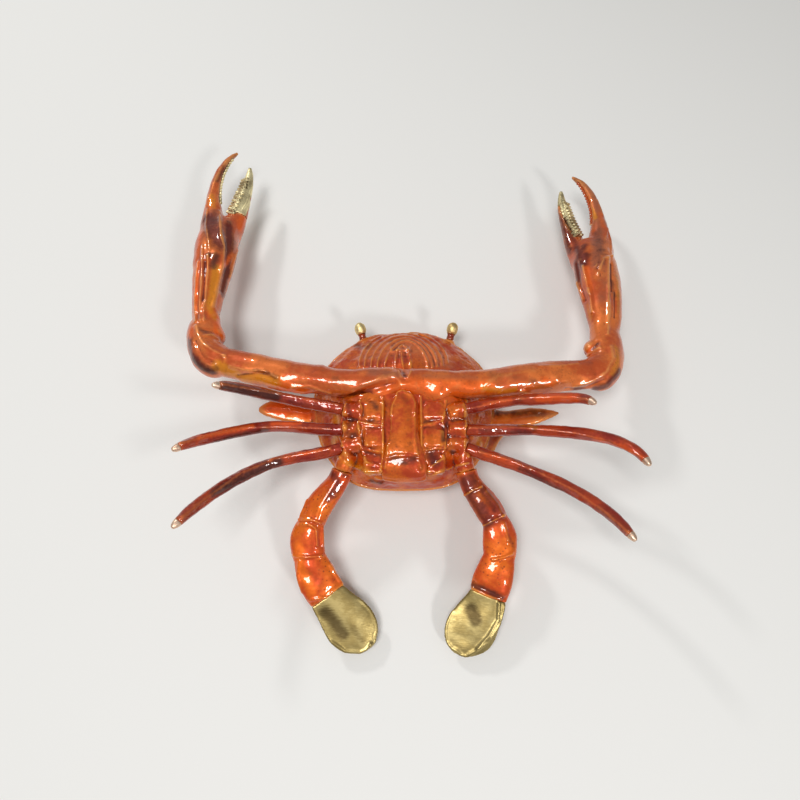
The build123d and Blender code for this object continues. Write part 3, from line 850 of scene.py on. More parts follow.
@dataclass(frozen=True)
class Studio:
    """Plain pale floor, plain pale surroundings and soft lamps.

    Attributes:
        floor_colour: colour of the floor.
        floor_size: length of its side, in metres.
        sky_colour: colour of the surroundings.
        sky: their strength.
        lamps: the lamps over the crab.
    """

    floor_colour: str = "e6e5e2"
    floor_size: float = 6.0
    sky_colour: str = "f4f4f2"
    sky: float = 0.32
    lamps: tuple[Lamp, ...] = (
        Lamp("overhead", (-0.25, -0.35, 1.3), 0.4, 9.4),
        Lamp("near", (0.55, -0.75, 0.8), 0.14, 3.2),
        Lamp("far", (-0.6, 0.75, 0.75), 0.12, 3.2),
    )

    def build(self) -> None:
        """Make the floor, the surroundings and the lamps."""
        self._floor()
        world = bpy.data.worlds.new("surroundings")
        world.use_nodes = True
        background = world.node_tree.nodes["Background"]
        background.inputs["Color"].default_value = linear(self.sky_colour)
        background.inputs["Strength"].default_value = self.sky
        bpy.context.scene.world = world
        for lamp in self.lamps:
            lamp.hang()
        bpy.context.scene.view_settings.view_transform = "Standard"

    def _floor(self) -> None:
        """Lay the floor, which is part of the stage and not of the crab."""
        tone = Bench("pale_floor")
        matte = tone.node("ShaderNodeBsdfDiffuse", None, {"Color": linear(self.floor_colour)})
        tone.show(matte)
        ground = bmesh.new()
        bmesh.ops.create_grid(ground, x_segments=1, y_segments=1, size=self.floor_size / 2)
        mesh = bpy.data.meshes.new("floor")
        ground.to_mesh(mesh)
        ground.free()
        mesh.materials.append(tone.material)
        floor = bpy.data.objects.new("floor", mesh)
        bpy.context.scene.collection.objects.link(floor)


@dataclass
class Body:
    """Shell, breastplate, apron and mouth.

    Attributes:
        shell_wax, belly_wax, apron_wax: how each casting is worked.
        rim_level, rim_height, rim_lap: where the breastplate flares over the shell's rim, in mm.
        mouth_thumbs: places smoothed over before the ribs of the mouth are drawn.
        pocket_width, pocket_depth, pockets: the sunk middles of the belly's plates.
        frame_width, frame_height, frames: their thin raised borders.
        dab_width, dab_height, dabs: lumps of wax round the hips.
        rib_width, rib_height, mouth_ribs: arches of the mouth, the outermost first, and its lip.
        shell_brushes, belly_brushes, apron_brushes: the washes.
        apron_strokes: the border and the crease of the apron.
    """

    shell_wax: Wax = Wax(voxel=0.95, smoothing=5, lumps=0.35, lump_size=9.0, grain=0.10, grain_size=2.4)
    belly_wax: Wax = Wax(voxel=0.6, smoothing=6, lumps=0.45, lump_size=5.0, grain=0.15, grain_size=1.7)
    apron_wax: Wax = Wax(voxel=0.5, smoothing=6, lumps=0.3, lump_size=6.0, grain=0.08, grain_size=1.7)
    rim_level: float = 30.0
    rim_height: float = 5.0
    rim_lap: float = 0.9
    mouth_thumbs: tuple[Thumb, ...] = (
        Thumb(((342, 364), (368, 350), (404, 344), (444, 352), (476, 366)), 17.0, 220),
        Thumb(((403, 346), (403, 362)), 9.0, 200),
    )
    pocket_width: float = 4.0
    pocket_depth: float = 0.8
    pockets: tuple[Line, ...] = (
        ((370, 406), (371, 417)),
        ((370, 431), (371, 442)),
        ((373, 456), (374, 462)),
        ((432, 406), (431, 417)),
        ((433, 431), (433, 442)),
        ((433, 456), (432, 462)),
        ((454, 408), (454, 424)),
        ((455, 434), (455, 447)),
        ((350, 408), (350, 424)),
        ((350, 434), (350, 447)),
    )
    frame_width: float = 0.7
    frame_height: float = 0.9
    frames: tuple[Line, ...] = (
        ((382.8, 397), (382.6, 412), (382.6, 430), (383.0, 452), (381, 470)),
        ((420.8, 397), (421.2, 412), (421.4, 430), (421.6, 452), (424, 470)),
        ((359.7, 401), (361.8, 410.8), (357.6, 423.4), (359.7, 437), (360.8, 447.6), (366, 461)),
        ((446, 401), (443.9, 414), (441.8, 422.4), (446, 429.7), (445, 443.4), (443, 456)),
        ((359.7, 422), (367, 423.4), (381.8, 426)),
        ((360.8, 447.6), (371.3, 450.8), (382.4, 452)),
        ((366, 462.3), (381.8, 466.6)),
        ((421, 425.5), (430, 424.0), (441.8, 421)),
        ((421.8, 450.2), (432, 449.2), (444, 447)),
        ((424, 469), (432, 466.5), (444, 458)),
        ((466, 401), (464.6, 416), (466.6, 431), (464.6, 446), (468, 456)),
        ((340, 403), (342, 418), (339.6, 432), (342, 446), (340, 458)),
        ((424, 477), (436.5, 472.9), (451.3, 467), (468, 463)),
        ((381.8, 479), (370.2, 475), (359.7, 468), (350, 465)),
    )
    dab_width: float = 2.0
    dab_height: float = 0.9
    dabs: Line = (
        (338, 408), (346, 414), (333, 421), (345, 427), (336, 433), (347, 440), (337, 446), (346, 453),
        (472, 410), (478, 418), (470, 424), (480, 431), (472, 438), (479, 446), (470, 452),
    )
    rib_width: float = 0.85
    rib_height: float = 0.85
    mouth_ribs: tuple[Line, ...] = (
        arch((359.5, 366), 332.2, (447, 363)),
        arch((365, 366), 334.3, (442, 366)),
        arch((371, 367), 336.4, (437, 367), 0.54),
        arch((377.5, 367), 338.8, (432.5, 367.5), 0.58),
        arch((385, 367), 341.4, (428, 367.5), 0.62),
        arch((395, 367), 345.6, (411, 374), 0.45),
        ((401.5, 353), (402.3, 362), (404, 371)),
        ((398.5, 371), (402, 376.5), (407.5, 376), (410.5, 371.5)),
    )
    shell_brushes: tuple[Brush, ...] = (
        Brush(Wash.FLAME, ((333, 362), (343, 353), (352, 347)), 5.0, 0.8),
        Brush(Wash.UMBER, ((356, 346), (361, 348)), 3.2, 0.8),
        Brush(Wash.UMBER, ((482, 413), (515, 413), (540, 412)), 4.6, 0.75),
        Brush(Wash.MAROON, ((546, 413), (560, 412)), 4.0, 0.9),
        Brush(Wash.MAROON, ((488, 440), (500, 438)), 5.0, 0.9),
        Brush(Wash.FLAME, ((272, 410), (290, 412), (322, 418)), 9.0, 1.0),
        Brush(Wash.GOLD, ((290, 420), (312, 426), (324, 440)), 4.0, 0.8),
        Brush(Wash.MAROON, ((258, 411), (266, 410)), 4.0, 0.8),
    )
    belly_brushes: tuple[Brush, ...] = (
        Brush(Wash.WINE, ((431, 456), (436, 462)), 4.0, 0.9),
        Brush(Wash.UMBER, ((372, 402), (377, 408)), 2.6, 0.7),
        Brush(Wash.UMBER, ((444, 427), (443, 440)), 2.0, 0.8),
        Brush(Wash.FLAME, ((395, 372), (410, 378), (430, 380), (470, 384)), 6.0, 1.0),
        Brush(Wash.MAROON, ((372, 352), (390, 346), (404, 344), (424, 348), (440, 358)), 11.0, 1.0),
        Brush(Wash.UMBER, ((356, 345), (362, 348), (370, 347)), 3.6, 0.6),
        Brush(Wash.GOLD, ((346, 462), (360, 468), (372, 474)), 2.4, 0.8),
        Brush(Wash.GOLD, ((334, 408), (338, 424), (334, 442)), 3.4, 0.8),
        Brush(Wash.GOLD, ((474, 428), (480, 442), (474, 452)), 3.4, 0.8),
        Brush(Wash.WINE, ((346, 404), (352, 420), (346, 436)), 2.2, 0.6),
        Brush(Wash.WINE, ((468, 404), (464, 420), (468, 436)), 2.2, 0.6),
        Brush(Wash.FLAME, ((385, 390), (404, 386), (448, 392)), 6.0, 1.0),
        Brush(Wash.UMBER, ((372, 481), (380, 483)), 2.6, 0.8),
    )
    apron_strokes: tuple[Stroke, ...] = (
        Stroke(
            (
                (389, 412), (389.4, 402), (393, 394.5), (402.5, 391), (411, 395), (414.6, 403),
                (414.4, 414),
            ),
            1.0, 0.8,
        ),
        Stroke(((389, 414), (388.6, 436), (387.4, 454), (385, 468)), 0.9, 0.55),
        Stroke(((414.4, 414), (414.6, 436), (417.4, 454), (421, 468)), 0.9, 0.55),
        Stroke(((387, 458), (395, 455.4), (410, 455.4), (419, 458)), 1.0, -0.5),
    )
    apron_brushes: tuple[Brush, ...] = (
        Brush(Wash.UMBER, ((392, 459), (404, 462), (414, 459)), 3.0, 0.75),
        Brush(Wash.WINE, ((402, 396), (406, 402)), 2.6, 0.5),
    )

    def build(self, view: View, finishes: dict[str, bpy.types.Material]) -> None:
        """Dress every casting of the body.

        Args:
            view: the frame of their strokes.
            finishes: the materials by slot.
        """
        self._shell(view, finishes["shell_patina"])
        self._belly(view, finishes["belly_patina"])
        self._apron(view, finishes["belly_patina"])

    def _shell(self, view: View, material: bpy.types.Material) -> None:
        """Dress the shell."""
        casting = Casting("shell_casting", ["shell"], self.shell_wax, view)
        casting.roughen()
        casting.paint(self.shell_brushes)
        casting.finish(material, "shell_patina")

    def _belly(self, view: View, material: bpy.types.Material) -> None:
        """Dress breastplate and mouth: plates with thin raised frames, and ribs arch inside arch."""
        casting = Casting("belly_casting", ["breastplate", "mouth"], self.belly_wax, view)
        casting.flare(self.rim_level, self.rim_height, self.rim_lap)
        casting.melt(self.mouth_thumbs)
        casting.model([Stroke(line, self.pocket_width, -self.pocket_depth) for line in self.pockets])
        casting.model([Stroke(line, self.frame_width, self.frame_height) for line in self.frames])
        casting.model([Stroke((spot,), self.dab_width, self.dab_height) for spot in self.dabs])
        casting.model([Stroke(line, self.rib_width, self.rib_height) for line in self.mouth_ribs])
        casting.roughen()
        casting.paint(self.belly_brushes)
        casting.finish(material, "belly_patina")

    def _apron(self, view: View, material: bpy.types.Material) -> None:
        """Dress the apron, whose broad middle stays bare."""
        casting = Casting("apron_casting", ["apron"], self.apron_wax, view)
        casting.model(self.apron_strokes)
        casting.roughen()
        casting.paint(self.apron_brushes)
        casting.finish(material, "belly_patina")


@dataclass
class ClawArm:
    """Marks of the tool and the brush on one claw arm, and its tooth rows.

    Attributes:
        side: the side that it is on.
        thumbs, strokes, brushes: marks on the arm, its claw and its pincer.
        comb_thumbs: places where the pincer's tooth row is smoothed over first.
        comb_ribs, comb_gaps: its teeth, and the dark lines between them.
        comb_strokes, comb_brushes: other marks on it.
        saw_brushes: washes on the fine saw of the finger.
        comb_rib_width, comb_rib_height, comb_gap_width: their sizes, in mm.
        tooth_wax: how both tooth rows are worked.
    """

    side: Side
    thumbs: tuple[Thumb, ...]
    strokes: tuple[Stroke, ...]
    brushes: tuple[Brush, ...]
    comb_thumbs: tuple[Thumb, ...]
    comb_ribs: tuple[Line, ...]
    comb_gaps: tuple[Line, ...]
    comb_strokes: tuple[Stroke, ...]
    comb_brushes: tuple[Brush, ...]
    saw_brushes: tuple[Brush, ...] = ()
    comb_rib_width: float = 0.7
    comb_rib_height: float = 0.8
    comb_gap_width: float = 0.55
    tooth_wax: Wax = Wax(voxel=0.26, smoothing=2, lumps=0.10, lump_size=1.6, grain=0.05, grain_size=0.7)

    def teeth(self, view: View, material: bpy.types.Material) -> None:
        """Dress the fine saw of the finger and the coarse comb of the pincer.

        Args:
            view: the frame of their strokes.
            material: the bare brass.
        """
        saw_node = f"{self.side.value}_claw_saw_teeth"
        saw = Casting(f"{saw_node}_casting", [saw_node], self.tooth_wax, view)
        saw.roughen()
        saw.paint(self.saw_brushes)
        saw.finish(material, "bare_brass_teeth")
        comb_node = f"{self.side.value}_pincer_teeth"
        comb = Casting(f"{comb_node}_casting", [comb_node], self.tooth_wax, view)
        comb.melt(self.comb_thumbs)
        comb.model([Stroke(line, self.comb_rib_width, self.comb_rib_height) for line in self.comb_ribs])
        comb.model(self.comb_strokes)
        comb.roughen()
        comb.paint([Brush(Wash.UMBER, line, self.comb_gap_width) for line in self.comb_gaps])
        comb.paint(self.comb_brushes)
        comb.finish(material, "bare_brass_teeth")


@dataclass
class Arms:
    """The two claw arms, welded together over the breastplate.

    Attributes:
        left, right: the marks on each arm.
        welds: the beads that join them.
        saddle: where the joint is smoothed over.
        seam: folds and lips round the joint.
        wax: how their skin is worked.
    """

    left: ClawArm
    right: ClawArm
    welds: tuple[Weld, ...] = (
        Weld((1.0, 8.4, 46.4), (15.0, 8.3, 8.6)),
        Weld((17.0, 4.2, 45.4), (11.5, 7.0, 6.8)),
        Weld((-13.0, 4.6, 45.0), (9.0, 6.4, 6.2)),
    )
    saddle: Thumb = Thumb(((386, 380), (404, 381), (426, 383)), 9.0, 70)
    seam: tuple[Stroke, ...] = (
        Stroke(((402, 364), (404, 371), (405, 377)), 2.6, -1.6),
        Stroke(((398.5, 370), (401.5, 376.5), (407.5, 377), (411, 371)), 0.8, 0.8),
        Stroke(((350, 396), (364, 391), (380, 386.5), (394, 383)), 2.2, -1.1),
    )
    wax: Wax = Wax(voxel=0.67, smoothing=6, lumps=0.40, lump_size=8.0, grain=0.07, grain_size=2.0)

    def build(self, view: View, finishes: dict[str, bpy.types.Material]) -> None:
        """Dress every casting of the arms.

        Args:
            view: the frame of their strokes.
            finishes: the materials by slot.
        """
        lengths = [
            f"{side.value}_{length}"
            for side in Side
            for length in ("arm_base", "arm", "wrist", "claw", "pincer")
        ]
        skin = Casting("arms_casting", lengths, self.wax, view, self.welds)
        skin.melt((self.saddle, *self.left.thumbs, *self.right.thumbs))
        skin.model((*self.seam, *self.left.strokes, *self.right.strokes))
        skin.roughen()
        skin.paint(self.left.brushes + self.right.brushes)
        skin.finish(finishes["arm_patina"], "arm_patina")
        for arm in (self.left, self.right):
            arm.teeth(view, finishes["bare_brass_teeth"])


@dataclass
class WalkingLegs:
    """The three walking legs of one side.

    Attributes:
        side: the side that they are on.
        joints: where each leg's upper meets its lower, in the frame.
        ridges: the ridge along each leg, in the frame.
        brushes: washes by the leg's number, counted from the head.
        ridge_width, ridge_height: size of the ridges, in mm.
        joint_width, joint_height: size of the swelling at a joint, in mm.
        melt_width, melt_rounds: how far and how often a joint is smoothed over first.
        shade_width, shade_strength: the dark wash round a joint.
        leg_wax, tip_wax: how legs and tips are worked.
    """

    side: Side
    joints: tuple[Pixel, ...]
    ridges: tuple[Line, ...]
    brushes: dict[int, tuple[Brush, ...]]
    ridge_width: float = 1.1
    ridge_height: float = 0.7
    joint_width: float = 2.4
    joint_height: float = 0.5
    melt_width: float = 4.0
    melt_rounds: int = 40
    shade_width: float = 1.6
    shade_strength: float = 0.6
    leg_wax: Wax = Wax(voxel=0.42, smoothing=5, lumps=0.25, lump_size=5.0, grain=0.08, grain_size=1.4)
    tip_wax: Wax = Wax(voxel=0.25, smoothing=2, lumps=0.12, lump_size=1.8, grain=0.05, grain_size=0.7)

    def build(self, view: View, finishes: dict[str, bpy.types.Material]) -> None:
        """Dress the legs and their tips.

        Args:
            view: the frame of their strokes.
            finishes: the materials by slot.
        """
        for number, (joint, ridge) in enumerate(zip(self.joints, self.ridges), 1):
            stem = f"{self.side.value}_leg_{number}"
            leg = Casting(f"{stem}_casting", [f"{stem}_upper", f"{stem}_lower"], self.leg_wax, view)
            leg.melt([Thumb((joint,), self.melt_width, self.melt_rounds)])
            leg.model([
                Stroke(ridge, self.ridge_width, self.ridge_height),
                Stroke((joint,), self.joint_width, self.joint_height),
            ])
            leg.roughen()
            leg.paint(self.brushes[number])
            leg.paint([Brush(Wash.UMBER, (joint,), self.shade_width, self.shade_strength)])
            leg.finish(finishes["leg_patina"], "leg_patina")
            tip = Casting(f"{stem}_tip_casting", [f"{stem}_tip"], self.tip_wax, view)
            tip.roughen()
            tip.finish(finishes["bare_bronze_leg_tips"], "bare_bronze_leg_tips")


@dataclass
class SwimmingLeg:
    """One swimming leg with its paddle.

    Attributes:
        side: the side that it is on.
        thumbs, strokes, brushes: marks on thigh, knee and shin.
        paddle_strokes, paddle_brushes: marks on the paddle.
        leg_wax, paddle_wax: how leg and paddle are worked.
    """

    side: Side
    thumbs: tuple[Thumb, ...]
    strokes: tuple[Stroke, ...]
    brushes: tuple[Brush, ...]
    paddle_strokes: tuple[Stroke, ...]
    paddle_brushes: tuple[Brush, ...]
    leg_wax: Wax = Wax(voxel=0.48, smoothing=6, lumps=0.35, lump_size=6.0, grain=0.05, grain_size=1.8)
    paddle_wax: Wax = Wax(voxel=0.42, smoothing=4, lumps=0.08, lump_size=9.0, grain=0.02, grain_size=1.5)

    def build(self, view: View, finishes: dict[str, bpy.types.Material]) -> None:
        """Dress the leg and the paddle.

        Args:
            view: the frame of their strokes.
            finishes: the materials by slot.
        """
        side = self.side.value
        lengths = [f"{side}_{length}" for length in ("swim_thigh", "swim_knee", "swim_shin")]
        leg = Casting(f"{side}_swimming_leg_casting", lengths, self.leg_wax, view)
        leg.melt(self.thumbs)
        leg.model(self.strokes)
        leg.roughen()
        leg.paint(self.brushes)
        leg.finish(finishes["swimming_leg_patina"], "swimming_leg_patina")
        paddle = Casting(f"{side}_paddle_casting", [f"{side}_paddle"], self.paddle_wax, view)
        paddle.model(self.paddle_strokes)
        paddle.roughen()
        paddle.paint(self.paddle_brushes)
        paddle.finish(finishes["brushed_brass_paddles"], "brushed_brass_paddles")


@dataclass
class Eyes:
    """The two eyes and their stalks.

    Attributes:
        stalk_wax, eye_wax: how stalks and eyes are worked.
    """

    stalk_wax: Wax = Wax(voxel=0.3, smoothing=4, lumps=0.2, lump_size=2.5, grain=0.05, grain_size=1.0)
    eye_wax: Wax = Wax(voxel=0.3, smoothing=4, lumps=0.15, lump_size=2.0, grain=0.06, grain_size=0.9)

    def build(self, view: View, finishes: dict[str, bpy.types.Material]) -> None:
        """Dress stalks and eyes.

        Args:
            view: the frame of their strokes.
            finishes: the materials by slot.
        """
        for side in Side:
            eye_node = f"{side.value}_eye"
            stalk = Casting(f"{eye_node}_stalk_casting", [f"{eye_node}_stalk"], self.stalk_wax, view)
            stalk.roughen()
            stalk.finish(finishes["stalk_patina"], "stalk_patina")
            eye = Casting(f"{eye_node}_casting", [eye_node], self.eye_wax, view)
            eye.roughen()
            eye.finish(finishes["polished_brass_eyes"], "polished_brass_eyes")


LEFT_ARM = ClawArm(
    side=Side.LEFT,
    thumbs=(
        Thumb(((203, 246), (204, 222), (212, 212), (224, 220), (236, 236), (234, 262)), 9.0, 150),
        Thumb(((195, 316), (206, 319), (218, 322)), 7.0, 60),
        Thumb(((314, 364), (316, 380)), 5.0, 20),
    ),
    strokes=(
        Stroke(((196.5, 326), (198, 334), (203, 343), (212, 350), (224, 356)), 1.6, 0.9),
        Stroke(((203.5, 330), (213.7, 331.6), (221, 337)), 1.3, -0.6),
        Stroke(((204.5, 335.7), (211, 335.2), (218, 340)), 1.0, 0.8),
        Stroke(((195.3, 341), (200, 351), (205, 359), (211, 361.6)), 1.2, -0.8),
        Stroke(((230, 366), (250, 371), (263, 371), (278, 377)), 1.3, 0.8),
        Stroke(((238, 375.5), (258, 372.5), (268, 374)), 1.2, -0.9),
        Stroke(((244, 380), (262, 379.5), (280, 384), (302, 391)), 4.2, 1.1),
        Stroke(((292, 386), (310, 386.5), (330, 393)), 1.0, 0.7),
        Stroke(((354, 391), (366, 384), (380, 378), (394, 374)), 2.4, 0.8),
        Stroke(((216, 316), (221, 325)), 3.2, 1.2),
        Stroke(((198.4, 262), (196.5, 280), (195.7, 291.5), (195.3, 306.8), (195.7, 321)), 1.0, 0.9),
        Stroke(((202.6, 246), (202.2, 268.6), (201.4, 283.9), (200, 304), (200.4, 321)), 0.9, 0.9),
        Stroke(((208, 255), (207.6, 271.6), (206, 286), (205, 299), (203.6, 309), (204, 320)), 1.0, 1.0),
        Stroke(((219.4, 212), (221, 234), (224.6, 247), (223.3, 261), (220, 277), (213, 307)), 1.3, 1.0),
        Stroke(((207.4, 209.4), (206, 224), (209.6, 249)), 1.0, 0.6),
        Stroke(((213, 216), (214, 230), (216, 243)), 3.4, -0.5),
        Stroke(((205.2, 262), (204.6, 284), (203, 300)), 0.9, -0.8),
        Stroke(((228, 226), (228, 246), (226.6, 268), (222, 290)), 2.4, -1.1),
        Stroke(((240, 246), (235, 256), (229.6, 276)), 1.4, 0.9),
        Stroke(((203.5, 198), (199.5, 215)), 1.2, 0.5),
        Stroke(((233, 155), (222, 167), (214, 183), (209, 198)), 1.2, 0.4),
    ),
    brushes=(
        # painted shade: dark wine and umber along the lower edge of the elbow
        Brush(Wash.WINE, ((189, 340), (191, 355), (201, 366), (212.7, 371.4)), 3.4, 1.0),
        Brush(Wash.UMBER, ((193, 360), (203, 369), (212, 372)), 2.2, 0.9),
        Brush(Wash.GOLD, ((218, 366), (227, 371), (236, 374)), 4.6, 1.0),
        Brush(Wash.UMBER, ((215, 363), (217, 369)), 2.2, 0.6),
        Brush(Wash.GOLD, ((244, 379), (262, 378), (275, 382)), 4.0, 0.9),
        Brush(Wash.FLAME, ((278, 384), (290, 389), (304, 393)), 4.5, 1.0),
        Brush(Wash.UMBER, ((254, 370), (268, 373), (276, 377)), 1.6, 0.7),
        Brush(Wash.WINE, ((232, 348), (262, 353), (300, 359)), 1.8, 0.5),
        Brush(Wash.UMBER, ((310, 374), (335, 381), (360, 384), (385, 378)), 6.0, 0.34),
        Brush(Wash.FLAME, ((212, 314), (220, 322), (219, 332)), 4.4, 1.0),
        Brush(Wash.UMBER, ((199, 328), (205, 332), (212, 334)), 2.6, 0.6),
        Brush(Wash.FLAME, ((192, 328), (191, 336)), 2.6, 0.8),
        # painted shade: a dark wine band along the lower edge of the left bar, where it overhangs the
        # saddle
        Brush(Wash.WINE, ((340, 396), (370, 392), (392, 386)), 2.5, 0.7),
        Brush(Wash.FLAME, ((380, 390), (396, 387), (412, 386)), 5.0, 1.0),
        Brush(Wash.MAROON, ((372, 372), (388, 373), (398, 374)), 4.0, 0.8),
        Brush(Wash.UMBER, ((209, 254), (216, 256), (213, 266)), 3.6, 0.8),
        Brush(Wash.GOLD, ((216, 268), (214.5, 284), (211, 303)), 3.6, 1.0),
        Brush(Wash.WINE, ((229, 222), (229, 246), (227, 270), (223, 295)), 3.2, 1.0),
        Brush(Wash.WINE, ((208, 218), (213, 230), (219, 240), (227, 247)), 7.5, 0.95),
        Brush(Wash.MAROON, ((214, 214), (224, 228), (232, 242)), 6.0, 0.8),
        Brush(Wash.FLAME, ((200, 232), (196.5, 262), (196, 300)), 2.6, 0.8),
        Brush(Wash.FLAME, ((207, 262), (206, 290)), 1.8, 0.8),
        Brush(Wash.FLAME, ((240, 240), (239, 248)), 2.2, 0.8),
        Brush(Wash.GOLD, ((211, 196), (213, 206)), 3.0, 0.7),
        Brush(Wash.WINE, ((238, 155), (226, 165), (217, 180)), 3.0, 0.8),
        Brush(Wash.FLAME, ((196.6, 300), (196.4, 318)), 2.2, 0.6),
        Brush(Wash.GOLD, ((209, 306), (214, 318)), 3.2, 0.7),
        Brush(Wash.FLAME, ((240, 228), (244, 218)), 4.0, 0.9),
    ),
    comb_thumbs=(Thumb(((244, 180), (238, 194), (230, 212)), 3.6, 60),),
    comb_ribs=rungs((239.5, 193), (228.5, 216.5), 7, 3.2, 12),
    comb_gaps=rungs((239.6, 195.5), (229.8, 215), 6, 2.6, 12),
    comb_strokes=(
        Stroke(((251, 190), (247, 203), (240, 214), (233, 221)), 0.7, 0.6),
        Stroke(((247.5, 178), (247, 188)), 0.6, -0.6),
    ),
    comb_brushes=(
        Brush(Wash.UMBER, ((248, 178), (247, 188)), 0.5, 0.9),
        Brush(Wash.FLAME, ((236, 229), (243, 223), (248.5, 212), (251.5, 200)), 1.7, 1.0),
    ),
)

RIGHT_ARM = ClawArm(
    side=Side.RIGHT,
    thumbs=(
        Thumb(((574, 268), (580, 248), (592, 238), (606, 242), (613, 262)), 9.0, 130),
        Thumb(((590, 332), (604, 334), (617, 335)), 7.0, 60),
        Thumb(((486, 372), (486, 390)), 5.0, 20),
    ),
    strokes=(
        Stroke(((583.4, 358.4), (592, 353), (600.3, 347.9)), 1.1, 0.9),
        Stroke(((585, 354), (592, 349), (597, 343)), 1.6, -1.2),
        Stroke(((583, 345), (587, 351)), 3.2, 1.2),
        Stroke(((540, 366), (556, 366.5), (578, 364)), 1.0, 0.5),
        Stroke(((483, 391), (488, 383), (499, 375.5), (515, 374), (533, 371)), 2.4, 0.8),
        Stroke(((520, 391), (535, 394), (549, 394)), 1.0, 0.7),
        Stroke(((611, 347), (613, 358), (606, 372), (590, 382), (574, 387)), 1.4, 0.7),
        Stroke(((566, 389), (585, 388), (604, 380)), 1.2, -0.7),
        Stroke(((556, 378), (560, 382), (566, 381)), 2.2, 0.6),
        Stroke(((607.8, 258), (608.2, 287.8), (608.6, 311.7), (607.8, 334)), 1.1, 1.0),
        Stroke(((611.4, 264), (611.4, 277.5), (612, 291)), 0.9, -0.8),
        Stroke(((615.2, 292), (615.2, 305), (615, 317)), 0.9, -0.9),
        Stroke(((598.2, 274.3), (600.6, 266.3), (603.4, 259.1), (611.8, 256.3)), 0.9, 0.9),
        Stroke(((583.1, 266.3), (587.1, 284.6), (590.3, 295.8), (592.4, 311.7)), 1.2, 1.0),
        Stroke(((576.4, 264), (580.4, 287.8), (584.4, 300)), 1.6, -1.1),
        Stroke(((571.6, 271), (577, 283), (583, 299)), 1.0, 0.8),
        Stroke(((606.6, 223), (610.6, 240), (611.6, 256)), 0.9, 0.6),
        Stroke(((610.4, 224), (613.4, 240)), 0.8, -0.6),
        Stroke(((594, 232), (594.6, 246), (590, 262)), 3.0, -0.6),
        Stroke(((597.5, 200), (603, 215)), 1.1, 0.4),
    ),
    brushes=(
        Brush(Wash.FLAME, ((583, 345), (584, 357)), 4.0, 1.0),
        # painted shade: dark wine along the lower edge of the right arm
        Brush(Wash.WINE, ((576, 389.5), (591, 390), (606.6, 385.8), (619, 372)), 3.0, 1.0),
        Brush(Wash.FLAME, ((412, 386), (430, 388), (450, 388), (486, 389)), 6.0, 1.0),
        Brush(Wash.MAROON, ((424, 376), (446, 377), (476, 378)), 2.6, 0.6),
        Brush(Wash.FLAME, ((544, 380), (550, 384)), 3.2, 0.7),
        Brush(Wash.UMBER, ((490, 376), (520, 376), (548, 388)), 3.4, 0.45),
        # painted shade: umber at the lower edge of the right arm, near the wrist
        Brush(Wash.UMBER, ((572, 388), (584, 386)), 2.4, 0.6),
        Brush(Wash.GOLD, ((616, 348), (618, 362), (612, 373)), 2.8, 0.6),
        Brush(Wash.GOLD, ((484, 389), (500, 391), (515, 390)), 2.4, 0.7),
        Brush(Wash.UMBER, ((597, 232), (600, 248), (604, 260)), 5.0, 0.5),
        Brush(Wash.WINE, ((584, 246), (576, 262), (578, 284)), 3.4, 0.9),
        Brush(Wash.FLAME, ((586, 268), (590, 290)), 2.6, 0.8),
        Brush(Wash.GOLD, ((588, 306), (590, 322)), 3.0, 0.5),
        Brush(Wash.GOLD, ((616, 262), (618.6, 290), (618.6, 312)), 2.4, 0.6),
        Brush(Wash.UMBER, ((612, 282), (614, 296)), 2.0, 0.6),
        Brush(Wash.GOLD, ((583, 190), (590, 205), (595, 218)), 2.0, 0.9),
        Brush(Wash.WINE, ((574, 179), (580, 182)), 2.6, 1.0),
        Brush(Wash.FLAME, ((601, 214), (604, 226)), 3.2, 0.6),
        Brush(Wash.MAROON, ((576, 180), (590, 188), (600, 204), (605, 222)), 4.4, 0.9),
        Brush(Wash.MAROON, ((596, 250), (606, 268), (604, 300)), 6.0, 0.6),
        Brush(Wash.WINE, ((560, 200), (562, 225), (569, 250)), 4.0, 1.0),
    ),
    comb_thumbs=(Thumb(((563, 208), (567, 221), (574, 234), (583, 246)), 3.6, 60),),
    comb_ribs=(
        *rungs((564.5, 209), (568, 221), 5, 3.4, -38),
        *rungs((569.5, 224), (583.5, 245), 9, 3.6, -38),
    ),
    comb_gaps=(
        *rungs((565, 210.5), (568.6, 222.5), 5, 2.6, -38),
        *rungs((570.4, 225.3), (582.6, 243.7), 8, 2.8, -38),
    ),
    comb_strokes=(Stroke(((560.5, 206), (563, 220), (568, 233), (577, 245)), 0.6, 0.5),),
    comb_brushes=(Brush(Wash.UMBER, ((562.5, 203), (563.5, 208)), 0.5, 0.9),),
    saw_brushes=(
        Brush(Wash.FLAME, ((575, 183), (584, 198), (591, 214), (593, 232)), 4.0, 1.0),
    ),
)

LEFT_LEGS = WalkingLegs(
    side=Side.LEFT,
    joints=((278.6, 395), (265.5, 427.5), (272, 462)),
    ridges=(
        ((216, 383), (245, 388), (278, 394), (310, 400), (338, 405)),
        ((180, 444), (215, 434), (248, 427.5), (285, 427), (330, 429)),
        ((178, 521), (205, 499), (240, 474), (275, 459), (330, 449)),
    ),
    brushes={
        1: (
            Brush(Wash.UMBER, ((276, 397), (245, 391), (212, 384)), 4.0, 1.0),
            Brush(Wash.WINE, ((290, 401), (320, 405)), 2.2, 0.6),
        ),
        2: (
            Brush(Wash.UMBER, ((266, 430), (245, 434), (215, 442)), 2.4, 0.7),
            Brush(Wash.FLAME, ((252, 426), (232, 430), (200, 437)), 2.0, 0.9),
            Brush(Wash.FLAME, ((272, 424), (300, 423)), 1.8, 0.8),
        ),
        3: (
            Brush(Wash.UMBER, ((278, 462), (250, 474), (215, 492)), 4.0, 0.9),
            Brush(Wash.FLAME, ((320, 446), (290, 453), (270, 458)), 2.0, 0.9),
            Brush(Wash.MAROON, ((205, 500), (185, 516), (176, 524)), 3.0, 0.9),
        ),
    },
)

